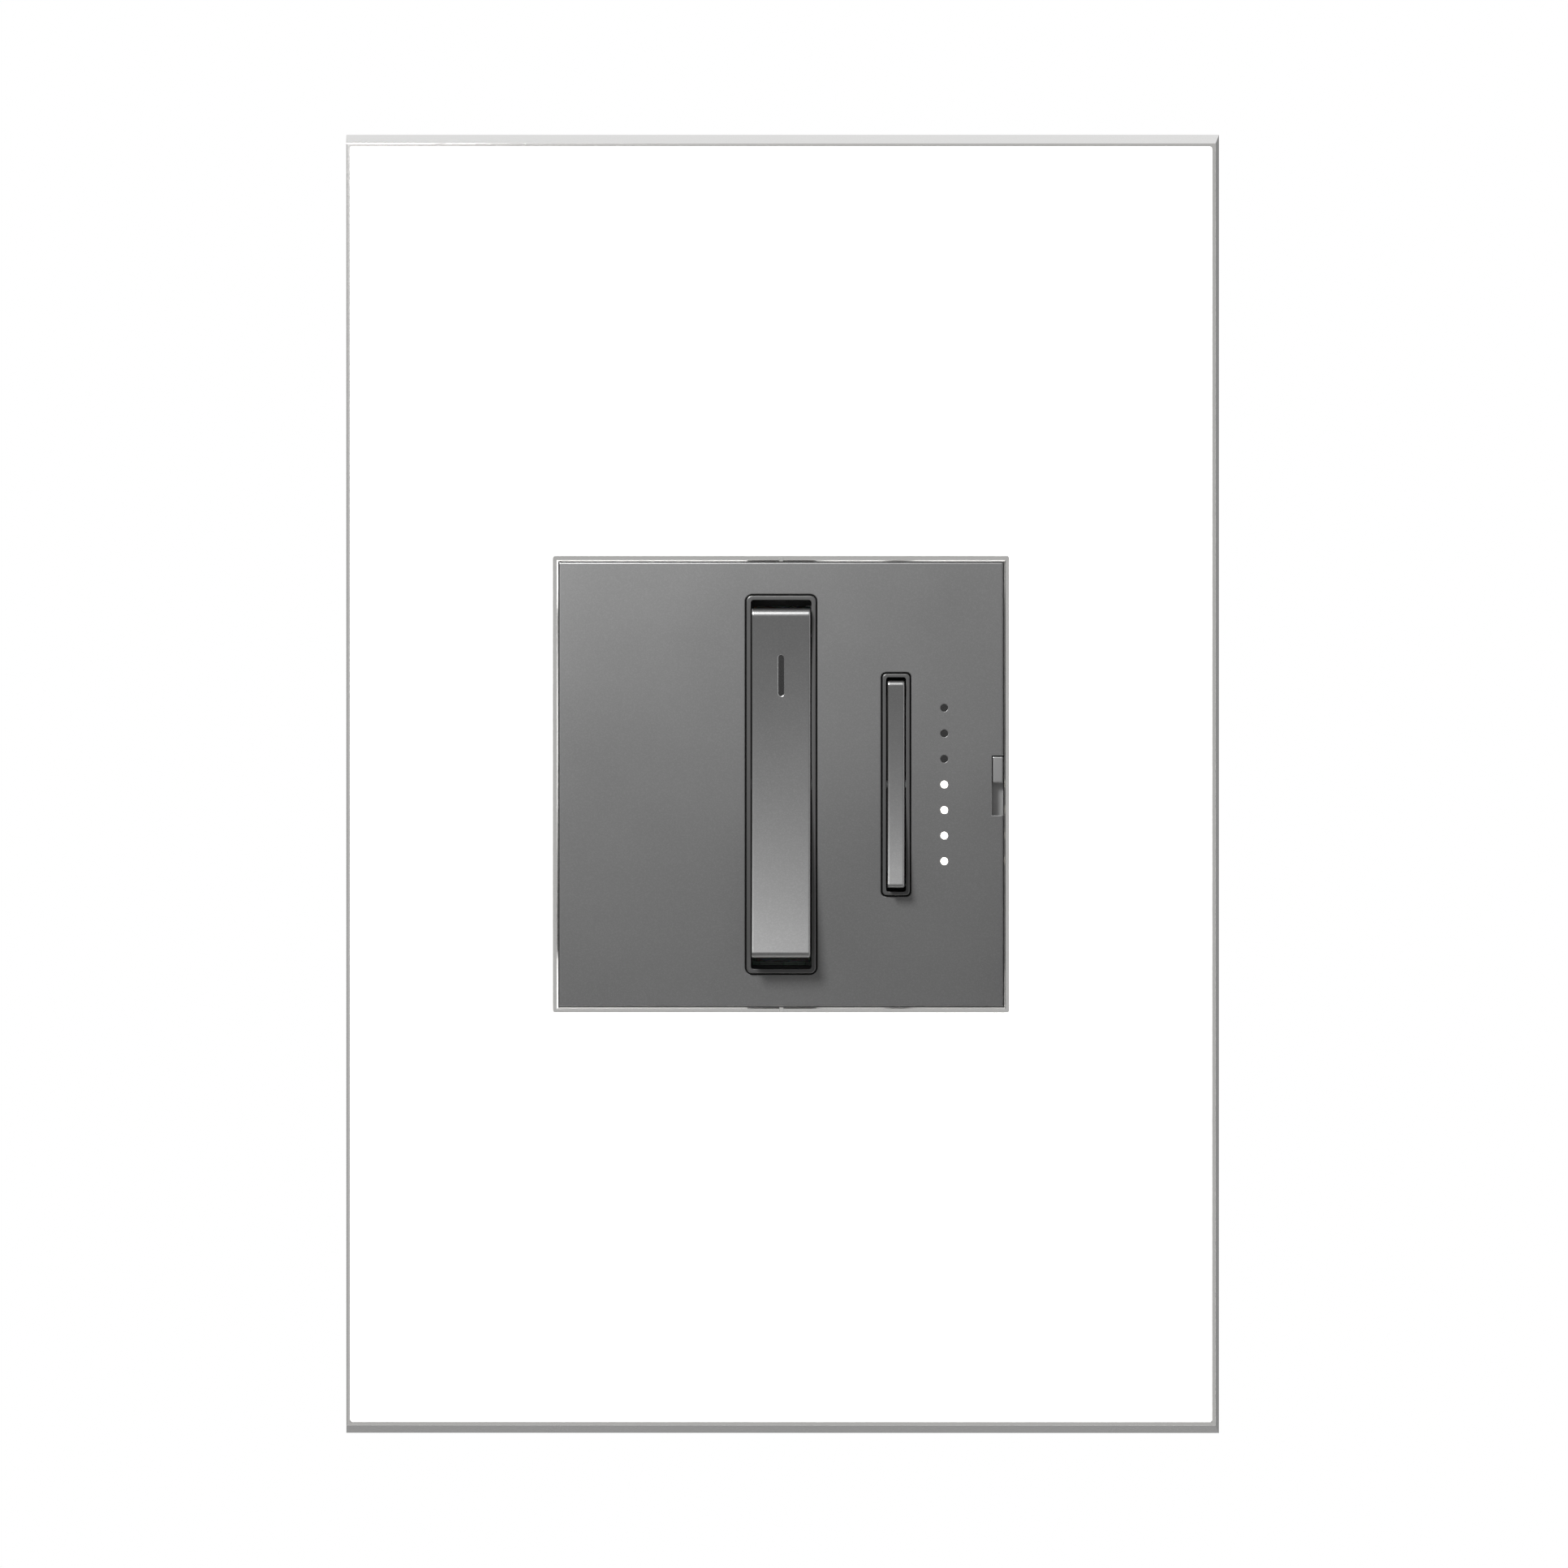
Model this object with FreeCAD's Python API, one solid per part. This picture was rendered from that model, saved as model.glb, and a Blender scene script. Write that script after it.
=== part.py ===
"""Wall dimmer: a square electronic dimmer with an on/off paddle, a small dimming rocker, seven level
lights and a service slide, held in a steel mounting frame behind a screwless wall plate.

Millimetres. +X is to the right, +Z is up and +Y goes into the wall. The origin is where the line between
the two box screws crosses the wall surface, so everything the user sees has a negative Y.
"""

import FreeCAD
import Part

import math
import os

V = FreeCAD.Vector

# ---- wall plate
PLATE_W, PLATE_H = 87.6, 130.3          # outline at the wall
PANEL_W, PANEL_H = 86.4, 127.8          # white front panel
LEDGE = 0.33                            # trim visible all round the panel
PANEL_FRONT = -9.8
PANEL_T = 1.5
LEDGE_FRONT = -9.1
BASE_WALL = 1.8
BASE_FLOOR = -7.3                       # inner side of the base's front wall
OPENING = 44.66                         # clear opening in the base, round the dimmer
OPENING_LIP = 0.16                      # bevel of that opening's front edge
PANEL_OPENING = 45.76
PANEL_CORNER_R = 0.25
PANEL_EDGE_R = 0.12
PRY_SLOT = 0.4                          # a small notch at the top and the bottom of the opening
PLATE_RIB_X, PLATE_RIB_Z, PLATE_RIB_H = 20.0, 40.0, 30.0
COLLAR_T, COLLAR_BACK = 1.2, -3.0

# ---- mounting frame and box screws
FRAME_W, FRAME_H, FRAME_T = 74.0, 116.0, 1.2
FRAME_OPENING = 45.6
FRAME_RIM = 4.6                         # height of the turned-up edge
SCREW_SPACING = 83.3
BOX_SCREW_R = 1.75
BOX_SCREW_NECK_R = 1.4                  # unthreaded neck, held by the insert in the slot
BOX_SCREW_LENGTH = 22.0
BOX_SLOT_W, BOX_SLOT_H = 9.0, 4.6
HOOK_Z, HOOK_W, HOOK_T = 40.0, 7.0, 1.2       # snap hooks of the plate, and their windows in the frame
HOOK_GAP = 0.15
WINDOW_FRONT, WINDOW_BACK = -3.75, -1.8
TOOLING_HOLE_R, TOOLING_HOLE_X, TOOLING_HOLE_Z = 2.1, 31.0, 49.0
BEAD_X, BEAD_W, BEAD_H, BEAD_T = 28.0, 1.6, 84.0, 0.7   # stiffening beads pressed into the frame
FRAME_CORNER_R = 3.0
BOX_SCREW_HEAD_R, BOX_SCREW_HEAD_H = 3.6, 2.0
BOX_SCREW_NECK_END = 0.3
SLOT_WIDE, SLOT_DEEP = 0.9, 1.1         # the driver slot in its head

# ---- front of the dimmer
BEZEL = 44.6
FACE = -8.9
FACE_T = 1.6
SKIRT_T = 1.4
EDGE = 0.18                             # radius round the face
SLOT_EDGE = 0.08                        # bevel of the slots for the paddle and the rocker
LUG_X, LUG_W = 12.0, 6.0                # wedges that spring out in front of the frame

# ---- paddle
PADDLE_W = 5.9
PADDLE_TOP, PADDLE_BOTTOM = 17.65, -17.35
PADDLE_ARC = 112.0                      # hollow curve of the face
PADDLE_LOW = 5.95                       # height at which the curve is deepest
PADDLE_PROUD = 0.6                      # how far that deepest line stands out of the face
PADDLE_BACK = -6.9
PADDLE_SLOT_W, PADDLE_SLOT_H = 7.15, 38.05
PADDLE_RING_W, PADDLE_RING_H = 6.95, 37.85
PADDLE_WELL_W, PADDLE_WELL_H = 6.1, 37.0
PADDLE_LEG_Z = 15.0
PADDLE_PIN_R = 0.75

# ---- dimming rocker
ROCKER_X = 11.52
ROCKER_W = 1.7
ROCKER_TOP, ROCKER_BOTTOM = 10.4, -10.35
ROCKER_ARC = 66.0
ROCKER_LOW = 3.5
ROCKER_PROUD = 0.5
ROCKER_SLOT_W, ROCKER_SLOT_H = 2.93, 22.4
ROCKER_RING_W, ROCKER_RING_H = 2.73, 22.2
ROCKER_WELL_W, ROCKER_WELL_H = 2.0, 21.5
ROCKER_LEG_Z = 8.0
ROCKER_PIN_R = 0.6

PIVOT = -5.4                            # depth of both pivot pins
PIN_CLEARANCE = 0.04
RING_PROUD = 0.35
RING_FLANGE_T = 1.0
LEG_TIP = -3.6

# ---- level lights
LIGHT_X, LIGHT_PITCH, LIGHT_COUNT = 16.34, 2.56, 7
LENS_R, LENS_STEM_R = 0.37, 0.7
LOCATOR_W, LOCATOR_H, LOCATOR_Z = 0.57, 4.14, 10.93

# ---- service slide
NOTCH_X, NOTCH_TOP, NOTCH_BOTTOM = 21.1, 2.9, -3.1
KNOB_H, KNOB_FRONT = 2.65, -8.75
CONTACT_Z = ((-1.0, 0.6), (2.4, 4.0))   # the two fixed contacts
TAIL_X, TAIL_W, TAIL_TURN, TAIL_END_X = 18.9, 0.7, 9.0, 13.4

# ---- boards, heat sink and housing
BOARD_T = 1.6
BOARD = 41.0
SHEET_T = 0.3
CHASSIS_T = 1.2
SINK_W, SINK_H, SINK_T = 47.0, 66.0, 2.0
TAB_W, TAB_T, TAB_BACK = 8.4, 1.6, 9.0  # grounding tab, turned back from the heat sink's lower edge
GROUND_X, GROUND_Y = 11.0, 5.2
HEX_R, HEX_H, HEX_WASHER_R, HEX_WASHER_T = 3.4, 2.0, 3.9, 0.6
HOUSING_W, HOUSING_H, HOUSING_BACK = 43.6, 64.0, 36.0
HOUSING_WALL = 1.8
POCKET_DEPTH, POCKET_H = 5.2, 11.4
POCKET_FRONT = 12.0                     # the pockets run from here through the back
RECESS_W, RECESS_H, RECESS_DEEP = 24.0, 24.0, 0.4       # shallow field in the back of the housing
GAUGE_W, GAUGE_H, GAUGE_DEEP, GAUGE_Z = 2.4, 12.0, 0.6, 21.0    # groove that shows how far to strip a wire
RIB_COUNT, RIB_PITCH, RIB_W, RIB_T = 4, 6.0, 0.9, 0.6
TERMINAL_Z = 16.0
TERMINAL_SCREW_Y = 20.0
TERMINAL_SCREW_R = 1.75
TERMINAL_PLATE_BACK = 27.6
TERMINAL_PLATE_H, TERMINAL_PLATE_T = 10.4, 0.8
CLAMP_W, CLAMP_OUT = 11.0, 21.3
POWER_BOARD_Y = 30.0
BEZEL_SCREW_R = 1.0
BEZEL_POST = 17.8
BEZEL_POST_EDGE = 16.2                  # inner sides of the four corner posts
HOUSING_SCREW_R, HOUSING_SCREW_X, HOUSING_SCREW_Z = 1.25, 17.6, 28.4
COUNTERBORE_R, COUNTERBORE_DEEP = 2.5, 3.0

# ---- electronic parts
LINK_X, LINK_COUNT, LINK_PITCH, LINK_PIN_R = -13.4, 6, 2.54, 0.32
SOLDER_END = 0.8
TRANSISTOR_X, TRANSISTOR_Z = (-5.6, 5.6), 6.0
TRANSISTOR_HOLE_Z, TRANSISTOR_SCREW_R, TRANSISTOR_TAB_T = 12.4, 1.5, 1.3
LEAD_W, LEAD_T, LEAD_Z = 0.8, 0.6, -4.4
PAD_T = 0.3
CHOKE_Z, CHOKE_RING, CHOKE_TUBE = -18.2, 6.4, 3.2
CHOKE_Y = POWER_BOARD_Y - 4.4
CHOKE_TURNS, CHOKE_WIRE_R = 18, 0.45
CAN_R, CAN_X, CAN_Z = 4.0, -8.8, 15.0
FUSE_R, FUSE_CAP_R = 2.1, 2.5
FUSE_Z, FUSE_Y = 27.6, POWER_BOARD_Y - 3.2
LED_H = 0.6

CHASSIS_BACK = -SHEET_T - BOARD_T       # the chassis stands on the control board
CHASSIS_FRONT = CHASSIS_BACK - CHASSIS_T
RING_FLANGE_BACK = FACE + FACE_T + RING_FLANGE_T
CORNERS = ((-1, -1), (-1, 1), (1, -1), (1, 1))          # signs of X and Z


# ---------------------------------------------------------------- shapes
def box(x0, x1, y0, y1, z0, z1):
    return Part.makeBox(x1 - x0, y1 - y0, z1 - z0, V(x0, y0, z0))


def block(width, y0, y1, height, x=0.0, z=0.0):
    """A box centred on (x, z), from depth y0 to y1."""
    return box(x - width / 2, x + width / 2, y0, y1, z - height / 2, z + height / 2)


def rod_x(radius, x0, x1, y, z):
    return Part.makeCylinder(radius, x1 - x0, V(x0, y, z), V(1, 0, 0))


def rod_y(radius, y0, y1, x=0.0, z=0.0):
    return Part.makeCylinder(radius, y1 - y0, V(x, y0, z), V(0, 1, 0))


def rod_z(radius, z0, z1, x, y):
    return Part.makeCylinder(radius, z1 - z0, V(x, y, z0), V(0, 0, 1))


def rounded(width, height, radius, y0, y1, x=0.0, z=0.0):
    """A block whose four long edges are rounded."""
    solid = block(width, y0, y1, height, x, z)
    corners = [e for e in solid.Edges if e.BoundBox.YLength > abs(y1 - y0) * 0.9]
    return solid.makeFillet(radius, corners)


def slot_plug(width, height, y0, y1, x=0.0, z=0.0):
    """An upright slot with round ends, as a solid."""
    r, half = width / 2, height / 2 - width / 2
    ends = rod_y(r, y0, y1, x, z + half).fuse(rod_y(r, y0, y1, x, z - half))
    return ends.fuse(block(width, y0, y1, 2 * half, x, z)).removeSplitter()


def frustum(w0, h0, y0, w1, h1, y1):
    """A block that tapers from w0 x h0 at depth y0 to w1 x h1 at y1."""
    def outline(w, h, y):
        corners = [V(-w / 2, y, -h / 2), V(w / 2, y, -h / 2), V(w / 2, y, h / 2), V(-w / 2, y, h / 2)]
        return Part.makePolygon(corners + corners[:1])
    return Part.makeLoft([outline(w0, h0, y0), outline(w1, h1, y1)], True, True)


def flat_edges(solid, y):
    """The edges of a solid that lie wholly at depth y."""
    return [e for e in solid.Edges if abs(e.BoundBox.YMin - y) < 1e-6 and abs(e.BoundBox.YMax - y) < 1e-6]


def joined(shapes):
    """One solid from shapes that meet."""
    shapes = list(shapes)
    return shapes[0].multiFuse(shapes[1:]).removeSplitter()


def cut(solid, *tools):
    return solid.cut(list(tools))


def screw_head(radius, height, base, towards):
    """A round head with a softened rim. Its seat is centred on base, and it stands up towards a direction."""
    head = Part.makeCylinder(radius, height, base, towards)
    rim = [e for e in head.Edges if e.Curve.TypeId == "Part::GeomCircle"
           and (e.CenterOfMass - base).dot(towards) > height / 2]
    return head.makeFillet(height * 0.35, rim)


def cross_recess(centre, towards, size, depth):
    """The cutter for a crosshead recess with its mouth at centre."""
    along, bars = towards.normalize(), []
    up = V(0, 0, 1) if abs(along.z) < 0.5 else V(1, 0, 0)
    side = along.cross(up)
    for long_way, short_way in ((up, side), (side, up)):
        corner = centre - long_way * (size / 2) - short_way * (size * 0.12) - along * depth
        points = [corner, corner + long_way * size, corner + long_way * size + short_way * (size * 0.24),
                  corner + short_way * (size * 0.24), corner]
        bars.append(Part.Face(Part.makePolygon(points)).extrude(along * (depth + 0.5)))
    return bars[0].fuse(bars[1])


def screw(head_r, head_h, shank_r, length, seat, towards):
    """A crosshead screw whose head stands on seat and points towards; its shank goes the other way."""
    head = screw_head(head_r, head_h, seat, towards)
    shank = Part.makeCylinder(shank_r, length, seat, towards * -1)
    recess = cross_recess(seat + towards * head_h, V(towards), head_r * 1.1, head_h * 0.55)
    return head.fuse(shank).removeSplitter().cut(recess)


# ---------------------------------------------------------------- wall plate
def wall_plate_panel():
    panel = rounded(PANEL_W, PANEL_H, PANEL_CORNER_R, PANEL_FRONT, PANEL_FRONT + PANEL_T)
    panel = cut(panel, rounded(PANEL_OPENING, PANEL_OPENING, PANEL_CORNER_R, PANEL_FRONT - 1, 0))
    return panel.makeFillet(PANEL_EDGE_R, flat_edges(panel, PANEL_FRONT))


def snap_hook(side, z):
    """A sprung finger inside the plate, with a barb that drops into a window of the frame's rim."""
    inner = FRAME_W / 2 + HOOK_GAP
    tip = inner - 0.9
    front, back = WINDOW_FRONT + HOOK_GAP, WINDOW_BACK - 0.1
    finger = box(inner, inner + HOOK_T, BASE_FLOOR, -0.6, z - HOOK_W / 2, z + HOOK_W / 2)
    barb = Part.makePolygon([V(inner, front, 0), V(tip, front + 0.2, 0), V(tip, front + 0.6, 0),
                             V(inner, back, 0), V(inner, front, 0)])
    barb = Part.Face(barb).extrude(V(0, 0, HOOK_W - 0.6))
    barb.translate(V(0, 0, z - HOOK_W / 2 + 0.3))
    hook = finger.fuse(barb).removeSplitter()
    return hook if side > 0 else hook.mirror(V(0, 0, 0), V(1, 0, 0))


def wall_plate_base():
    ledge_w, ledge_h = PANEL_W + 2 * LEDGE, PANEL_H + 2 * LEDGE
    shell = frustum(PLATE_W, PLATE_H, 0, ledge_w, ledge_h, LEDGE_FRONT)
    hollow = frustum(PLATE_W - 2 * BASE_WALL, PLATE_H - 2 * BASE_WALL, 0,
                     ledge_w - 2 * BASE_WALL, ledge_h - 2 * BASE_WALL, BASE_FLOOR)
    shell = cut(shell, hollow)
    collar = block(OPENING + 2 * COLLAR_T, BASE_FLOOR, COLLAR_BACK, OPENING + 2 * COLLAR_T)
    shell = shell.fuse(collar)
    tray = cut(block(PANEL_W, LEDGE_FRONT - 1, PANEL_FRONT + PANEL_T, PANEL_H),
               rounded(PANEL_OPENING, PANEL_OPENING, PANEL_CORNER_R, LEDGE_FRONT - 2, 0))
    wide = OPENING + 2 * OPENING_LIP
    lip = frustum(wide, wide, LEDGE_FRONT, OPENING, OPENING, LEDGE_FRONT + OPENING_LIP)
    shell = cut(shell, tray, lip, block(OPENING, LEDGE_FRONT - 1, 1, OPENING))
    pry_slots = [block(PRY_SLOT, LEDGE_FRONT - 1, LEDGE_FRONT + 0.6, 2 * PRY_SLOT, 0, s * OPENING / 2)
                 for s in (-1, 1)]
    shell = cut(shell, *pry_slots)
    ribs = [block(FRAME_T, BASE_FLOOR, -FRAME_RIM - 0.2, PLATE_RIB_H, sx * PLATE_RIB_X, sz * PLATE_RIB_Z)
            for sx, sz in CORNERS]
    hooks = [snap_hook(s, z) for s in (-1, 1) for z in (-HOOK_Z, HOOK_Z)]
    return joined([shell] + ribs + hooks)


# ---------------------------------------------------------------- mounting frame
def mounting_frame():
    pan = rounded(FRAME_W, FRAME_H, FRAME_CORNER_R, -FRAME_RIM, 0)
    inside = rounded(FRAME_W - 2 * FRAME_T, FRAME_H - 2 * FRAME_T, FRAME_CORNER_R - FRAME_T,
                     -FRAME_RIM - 1, -FRAME_T)
    frame = cut(pan, inside, block(FRAME_OPENING, -10, 10, FRAME_OPENING))
    windows = [block(6.0, WINDOW_FRONT, WINDOW_BACK, HOOK_W, sx * FRAME_W / 2, sz * HOOK_Z)
               for sx, sz in CORNERS]
    slots = [oblong(BOX_SLOT_W, BOX_SLOT_H, s * SCREW_SPACING / 2) for s in (-1, 1)]
    holes = [rod_y(TOOLING_HOLE_R, -FRAME_T - 1, 1, sx * TOOLING_HOLE_X, sz * TOOLING_HOLE_Z)
             for sx, sz in CORNERS]
    beads = [slot_plug(BEAD_W, BEAD_H, -FRAME_T - BEAD_T, -FRAME_T, s * BEAD_X) for s in (-1, 1)]
    return joined([cut(frame, *(windows + slots + holes))] + beads)


def oblong(width, height, z):
    """A level slot with round ends through the frame."""
    half, r = (width - height) / 2, height / 2
    ends = rod_y(r, -FRAME_T, 0, -half, z).fuse(rod_y(r, -FRAME_T, 0, half, z))
    return ends.fuse(block(2 * half, -FRAME_T, 0, height, 0, z)).removeSplitter()


def screw_retainers():
    """Nylon inserts that keep the box screws in the frame's slots."""
    return [cut(oblong(BOX_SLOT_W, BOX_SLOT_H, s * SCREW_SPACING / 2),
                rod_y(BOX_SCREW_NECK_R, -5, 5, 0, s * SCREW_SPACING / 2)) for s in (-1, 1)]


def box_screws():
    """Two slotted oval-head machine screws."""
    made = []
    for s in (-1, 1):
        seat = V(0, -FRAME_T, s * SCREW_SPACING / 2)
        head = screw_head(BOX_SCREW_HEAD_R, BOX_SCREW_HEAD_H, seat, V(0, -1, 0))
        neck = rod_y(BOX_SCREW_NECK_R, -FRAME_T, BOX_SCREW_NECK_END, 0, seat.z)
        thread = rod_y(BOX_SCREW_R, BOX_SCREW_NECK_END, BOX_SCREW_LENGTH, 0, seat.z)
        top = -FRAME_T - BOX_SCREW_HEAD_H
        slot = block(SLOT_WIDE, top - 1, top + SLOT_DEEP, 3 * BOX_SCREW_HEAD_R, 0, seat.z)
        made.append(cut(joined([head, neck, thread]), slot))
    return made


# ---------------------------------------------------------------- front of the dimmer
def notch_cutter():
    """The cut-out of the service slide, open at the face and at its right edge, with the slide's channel."""
    mouth = box(NOTCH_X, BEZEL, FACE - 1, -7.2, NOTCH_BOTTOM, NOTCH_TOP)
    channel = box(BEZEL / 2 - SKIRT_T - 0.1, BEZEL, -7.75, -6.4, -7.0, 6.6)
    return mouth.fuse(channel)


def front_bezel():
    face = block(BEZEL, FACE, 0, BEZEL)
    face = face.makeFillet(EDGE, flat_edges(face, FACE))
    bezel = cut(face, block(BEZEL - 2 * SKIRT_T, FACE + FACE_T, 1, BEZEL - 2 * SKIRT_T))
    half = BEZEL / 2 - SKIRT_T
    side, middle = half - BEZEL_POST_EDGE, (half + BEZEL_POST_EDGE) / 2
    posts = [block(side, FACE + FACE_T, CHASSIS_FRONT, side, sx * middle, sz * middle)
             for sx, sz in CORNERS]
    lugs = [snap_lug(sx * LUG_X, sz) for sx, sz in CORNERS]
    bezel = joined([bezel] + posts + lugs)
    lights = [rod_y(LENS_R, FACE - 1, -6, LIGHT_X, light_z(k)) for k in range(LIGHT_COUNT)]
    paddle_slot = bevelled_slot(PADDLE_SLOT_W, PADDLE_SLOT_H, 0.7)
    rocker_slot = bevelled_slot(ROCKER_SLOT_W, ROCKER_SLOT_H, 0.45, ROCKER_X)
    return cut(bezel, paddle_slot, rocker_slot, notch_cutter(), *(post_holes(-6.2, 1) + lights))


def bevelled_slot(width, height, corner, x=0.0):
    """The cutter for an upright opening in the face, with its front edge bevelled."""
    through = rounded(width, height, corner, FACE, -6, x)
    grown = 2 * SLOT_EDGE
    wide = rounded(width + grown, height + grown, corner + SLOT_EDGE, FACE, FACE + SLOT_EDGE, x)
    wide = wide.makeChamfer(SLOT_EDGE * 0.999, flat_edges(wide, FACE + SLOT_EDGE))
    return through.fuse(wide)


def post_holes(y0, y1):
    """Cutters for the four bezel screws, through each layer from the heat sink to the face."""
    return [rod_y(BEZEL_SCREW_R, y0, y1, sx * BEZEL_POST, sz * BEZEL_POST) for sx, sz in CORNERS]


def snap_lug(x, side):
    """A wedge on the skirt that springs out in front of the frame."""
    z0, z1 = BEZEL / 2, BEZEL / 2 + 1.0
    wedge = Part.makePolygon([V(0, -FRAME_T, z0), V(0, -FRAME_T, z1), V(0, -FRAME_T - 0.4, z1),
                              V(0, -FRAME_T - 1.6, z0), V(0, -FRAME_T, z0)])
    wedge = Part.Face(wedge).extrude(V(LUG_W, 0, 0))
    wedge.translate(V(x - LUG_W / 2, 0, 0))
    return wedge if side > 0 else wedge.mirror(V(0, 0, 0), V(0, 0, 1))


def light_z(k):
    """Height of level light k, counted from the bottom."""
    return (k - (LIGHT_COUNT - 1) / 2) * LIGHT_PITCH


def surround(ring_w, ring_h, ring_r, well_w, well_h, well_r, flange_w, flange_h, x=0.0):
    """The collar round a control: a thin ring through the face and a flange behind it."""
    ring = rounded(ring_w, ring_h, ring_r, FACE - RING_PROUD, FACE + FACE_T, x)
    front = [e for e in ring.Edges if abs(e.BoundBox.YMax - (FACE - RING_PROUD)) < 1e-6]
    ring = ring.makeFillet(0.12, front)
    flange = rounded(flange_w, flange_h, 1.0, FACE + FACE_T, RING_FLANGE_BACK, x)
    well = rounded(well_w, well_h, well_r, FACE - 5, 0, x)
    return cut(ring.fuse(flange).removeSplitter(), well)


def paddle_surround():
    return surround(PADDLE_RING_W, PADDLE_RING_H, 0.55, PADDLE_WELL_W, PADDLE_WELL_H, 0.3, 10.2, 40.6)


def rocker_surround():
    return surround(ROCKER_RING_W, ROCKER_RING_H, 0.4, ROCKER_WELL_W, ROCKER_WELL_H, 0.25, 5.6, 24.6,
                    ROCKER_X)


# ---------------------------------------------------------------- paddle and rocker
def scoop(width, top, bottom, arc, low, proud, back, top_round, bottom_round, x=0.0):
    """A bar whose front is a hollow arc in side view, with both end edges and both long edges rounded."""
    deep = FACE - proud

    def front(z):
        return deep - (arc - math.sqrt(arc * arc - (z - low) ** 2))

    curve = Part.Arc(V(0, front(top), top), V(0, deep, low), V(0, front(bottom), bottom)).toShape()
    sides = Part.makePolygon([V(0, front(bottom), bottom), V(0, back, bottom), V(0, back, top),
                              V(0, front(top), top)])
    bar = Part.Face(Part.Wire([curve] + sides.Edges)).extrude(V(width, 0, 0))
    bar.translate(V(x - width / 2, 0, 0))

    def cross_edge(z, y):
        return [e for e in bar.Edges if e.BoundBox.XLength > width * 0.9
                and abs(e.CenterOfMass.z - z) < 1e-3 and abs(e.CenterOfMass.y - y) < 1e-3]

    bar = bar.makeFillet(top_round, cross_edge(top, front(top)))
    bar = bar.makeFillet(bottom_round, cross_edge(bottom, front(bottom)))
    long_edges = [e for e in bar.Edges if e.BoundBox.XLength < 1e-6 and e.BoundBox.ZLength > 1.0
                  and e.CenterOfMass.y < deep + 0.01]
    return bar.makeFillet(0.15, long_edges)


def locator_cutter():
    return slot_plug(LOCATOR_W, LOCATOR_H, -14, PADDLE_BACK + 1.5, 0, LOCATOR_Z)


def paddle_blank():
    return scoop(PADDLE_W, PADDLE_TOP, PADDLE_BOTTOM, PADDLE_ARC, PADDLE_LOW, PADDLE_PROUD, PADDLE_BACK,
                 0.7, 0.45)


def paddle():
    body = paddle_blank()
    pockets = [box(-1.9, 1.9, -8.6, PADDLE_BACK, 2.6, 13.6), box(-1.9, 1.9, -8.6, PADDLE_BACK, -13.6, -2.6)]
    body = cut(body, *pockets)
    boss = rod_x(1.7, -2.9, 2.9, PIVOT, 0).fuse(box(-2.9, 2.9, PADDLE_BACK, PIVOT, -1.7, 1.7))
    legs = [rod_y(1.0, PADDLE_BACK, LEG_TIP, 0, s * PADDLE_LEG_Z) for s in (-1, 1)]
    body = joined([body, boss] + legs)
    return cut(body, rod_x(PADDLE_PIN_R + PIN_CLEARANCE, -4, 4, PIVOT, 0), locator_cutter())


def paddle_light_pipe():
    """Clear lens flush with the paddle, with a stem that reaches down to its light."""
    lens = locator_cutter().common(paddle_blank())
    lens = cut(lens, block(10, -8.6, 5, 60))
    stem = block(LOCATOR_W, -8.6, -3.2, 3.0, 0, LOCATOR_Z)
    return joined([lens, stem])


def paddle_pivot_pin():
    return rod_x(PADDLE_PIN_R, -5.2, 5.2, PIVOT, 0)


def dim_rocker():
    body = scoop(ROCKER_W, ROCKER_TOP, ROCKER_BOTTOM, ROCKER_ARC, ROCKER_LOW, ROCKER_PROUD, -5.6,
                 0.45, 0.3, ROCKER_X)
    bar = block(2.8, -5.8, -4.9, 18.0, ROCKER_X)
    boss = rod_x(1.3, ROCKER_X - ROCKER_W / 2, ROCKER_X + ROCKER_W / 2, PIVOT, 0)
    legs = [rod_y(0.8, -5.0, LEG_TIP, ROCKER_X, s * ROCKER_LEG_Z) for s in (-1, 1)]
    body = joined([body, bar, boss] + legs)
    return cut(body, rod_x(ROCKER_PIN_R + PIN_CLEARANCE, ROCKER_X - 4, ROCKER_X + 4, PIVOT, 0))


def dim_rocker_pivot_pin():
    return rod_x(ROCKER_PIN_R, ROCKER_X - 3.0, ROCKER_X + 3.0, PIVOT, 0)


def return_domes(x, leg_z, base, foot_r, top_r):
    """Silicone domes on the control board that push a control back to its middle."""
    made = []
    for s in (-1, 1):
        foot = block(base, CHASSIS_BACK - LED_H, CHASSIS_BACK, base, x, s * leg_z)
        cone = Part.makeCone(foot_r, top_r, 1.0, V(x, CHASSIS_BACK - LED_H, s * leg_z), V(0, -1, 0))
        made.append(foot.fuse(cone).removeSplitter())
    return made


# ---------------------------------------------------------------- inner frame and lights
def pin_saddle(x0, x1, radius, height):
    """A post with an open notch for a pivot pin, closed in front by the surround's flange."""
    post = box(x0, x1, RING_FLANGE_BACK, CHASSIS_FRONT, -height, height)
    return cut(post, rod_x(radius, x0 - 1, x1 + 1, PIVOT, 0),
               box(x0 - 1, x1 + 1, RING_FLANGE_BACK - 1, PIVOT, -radius, radius))


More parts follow.
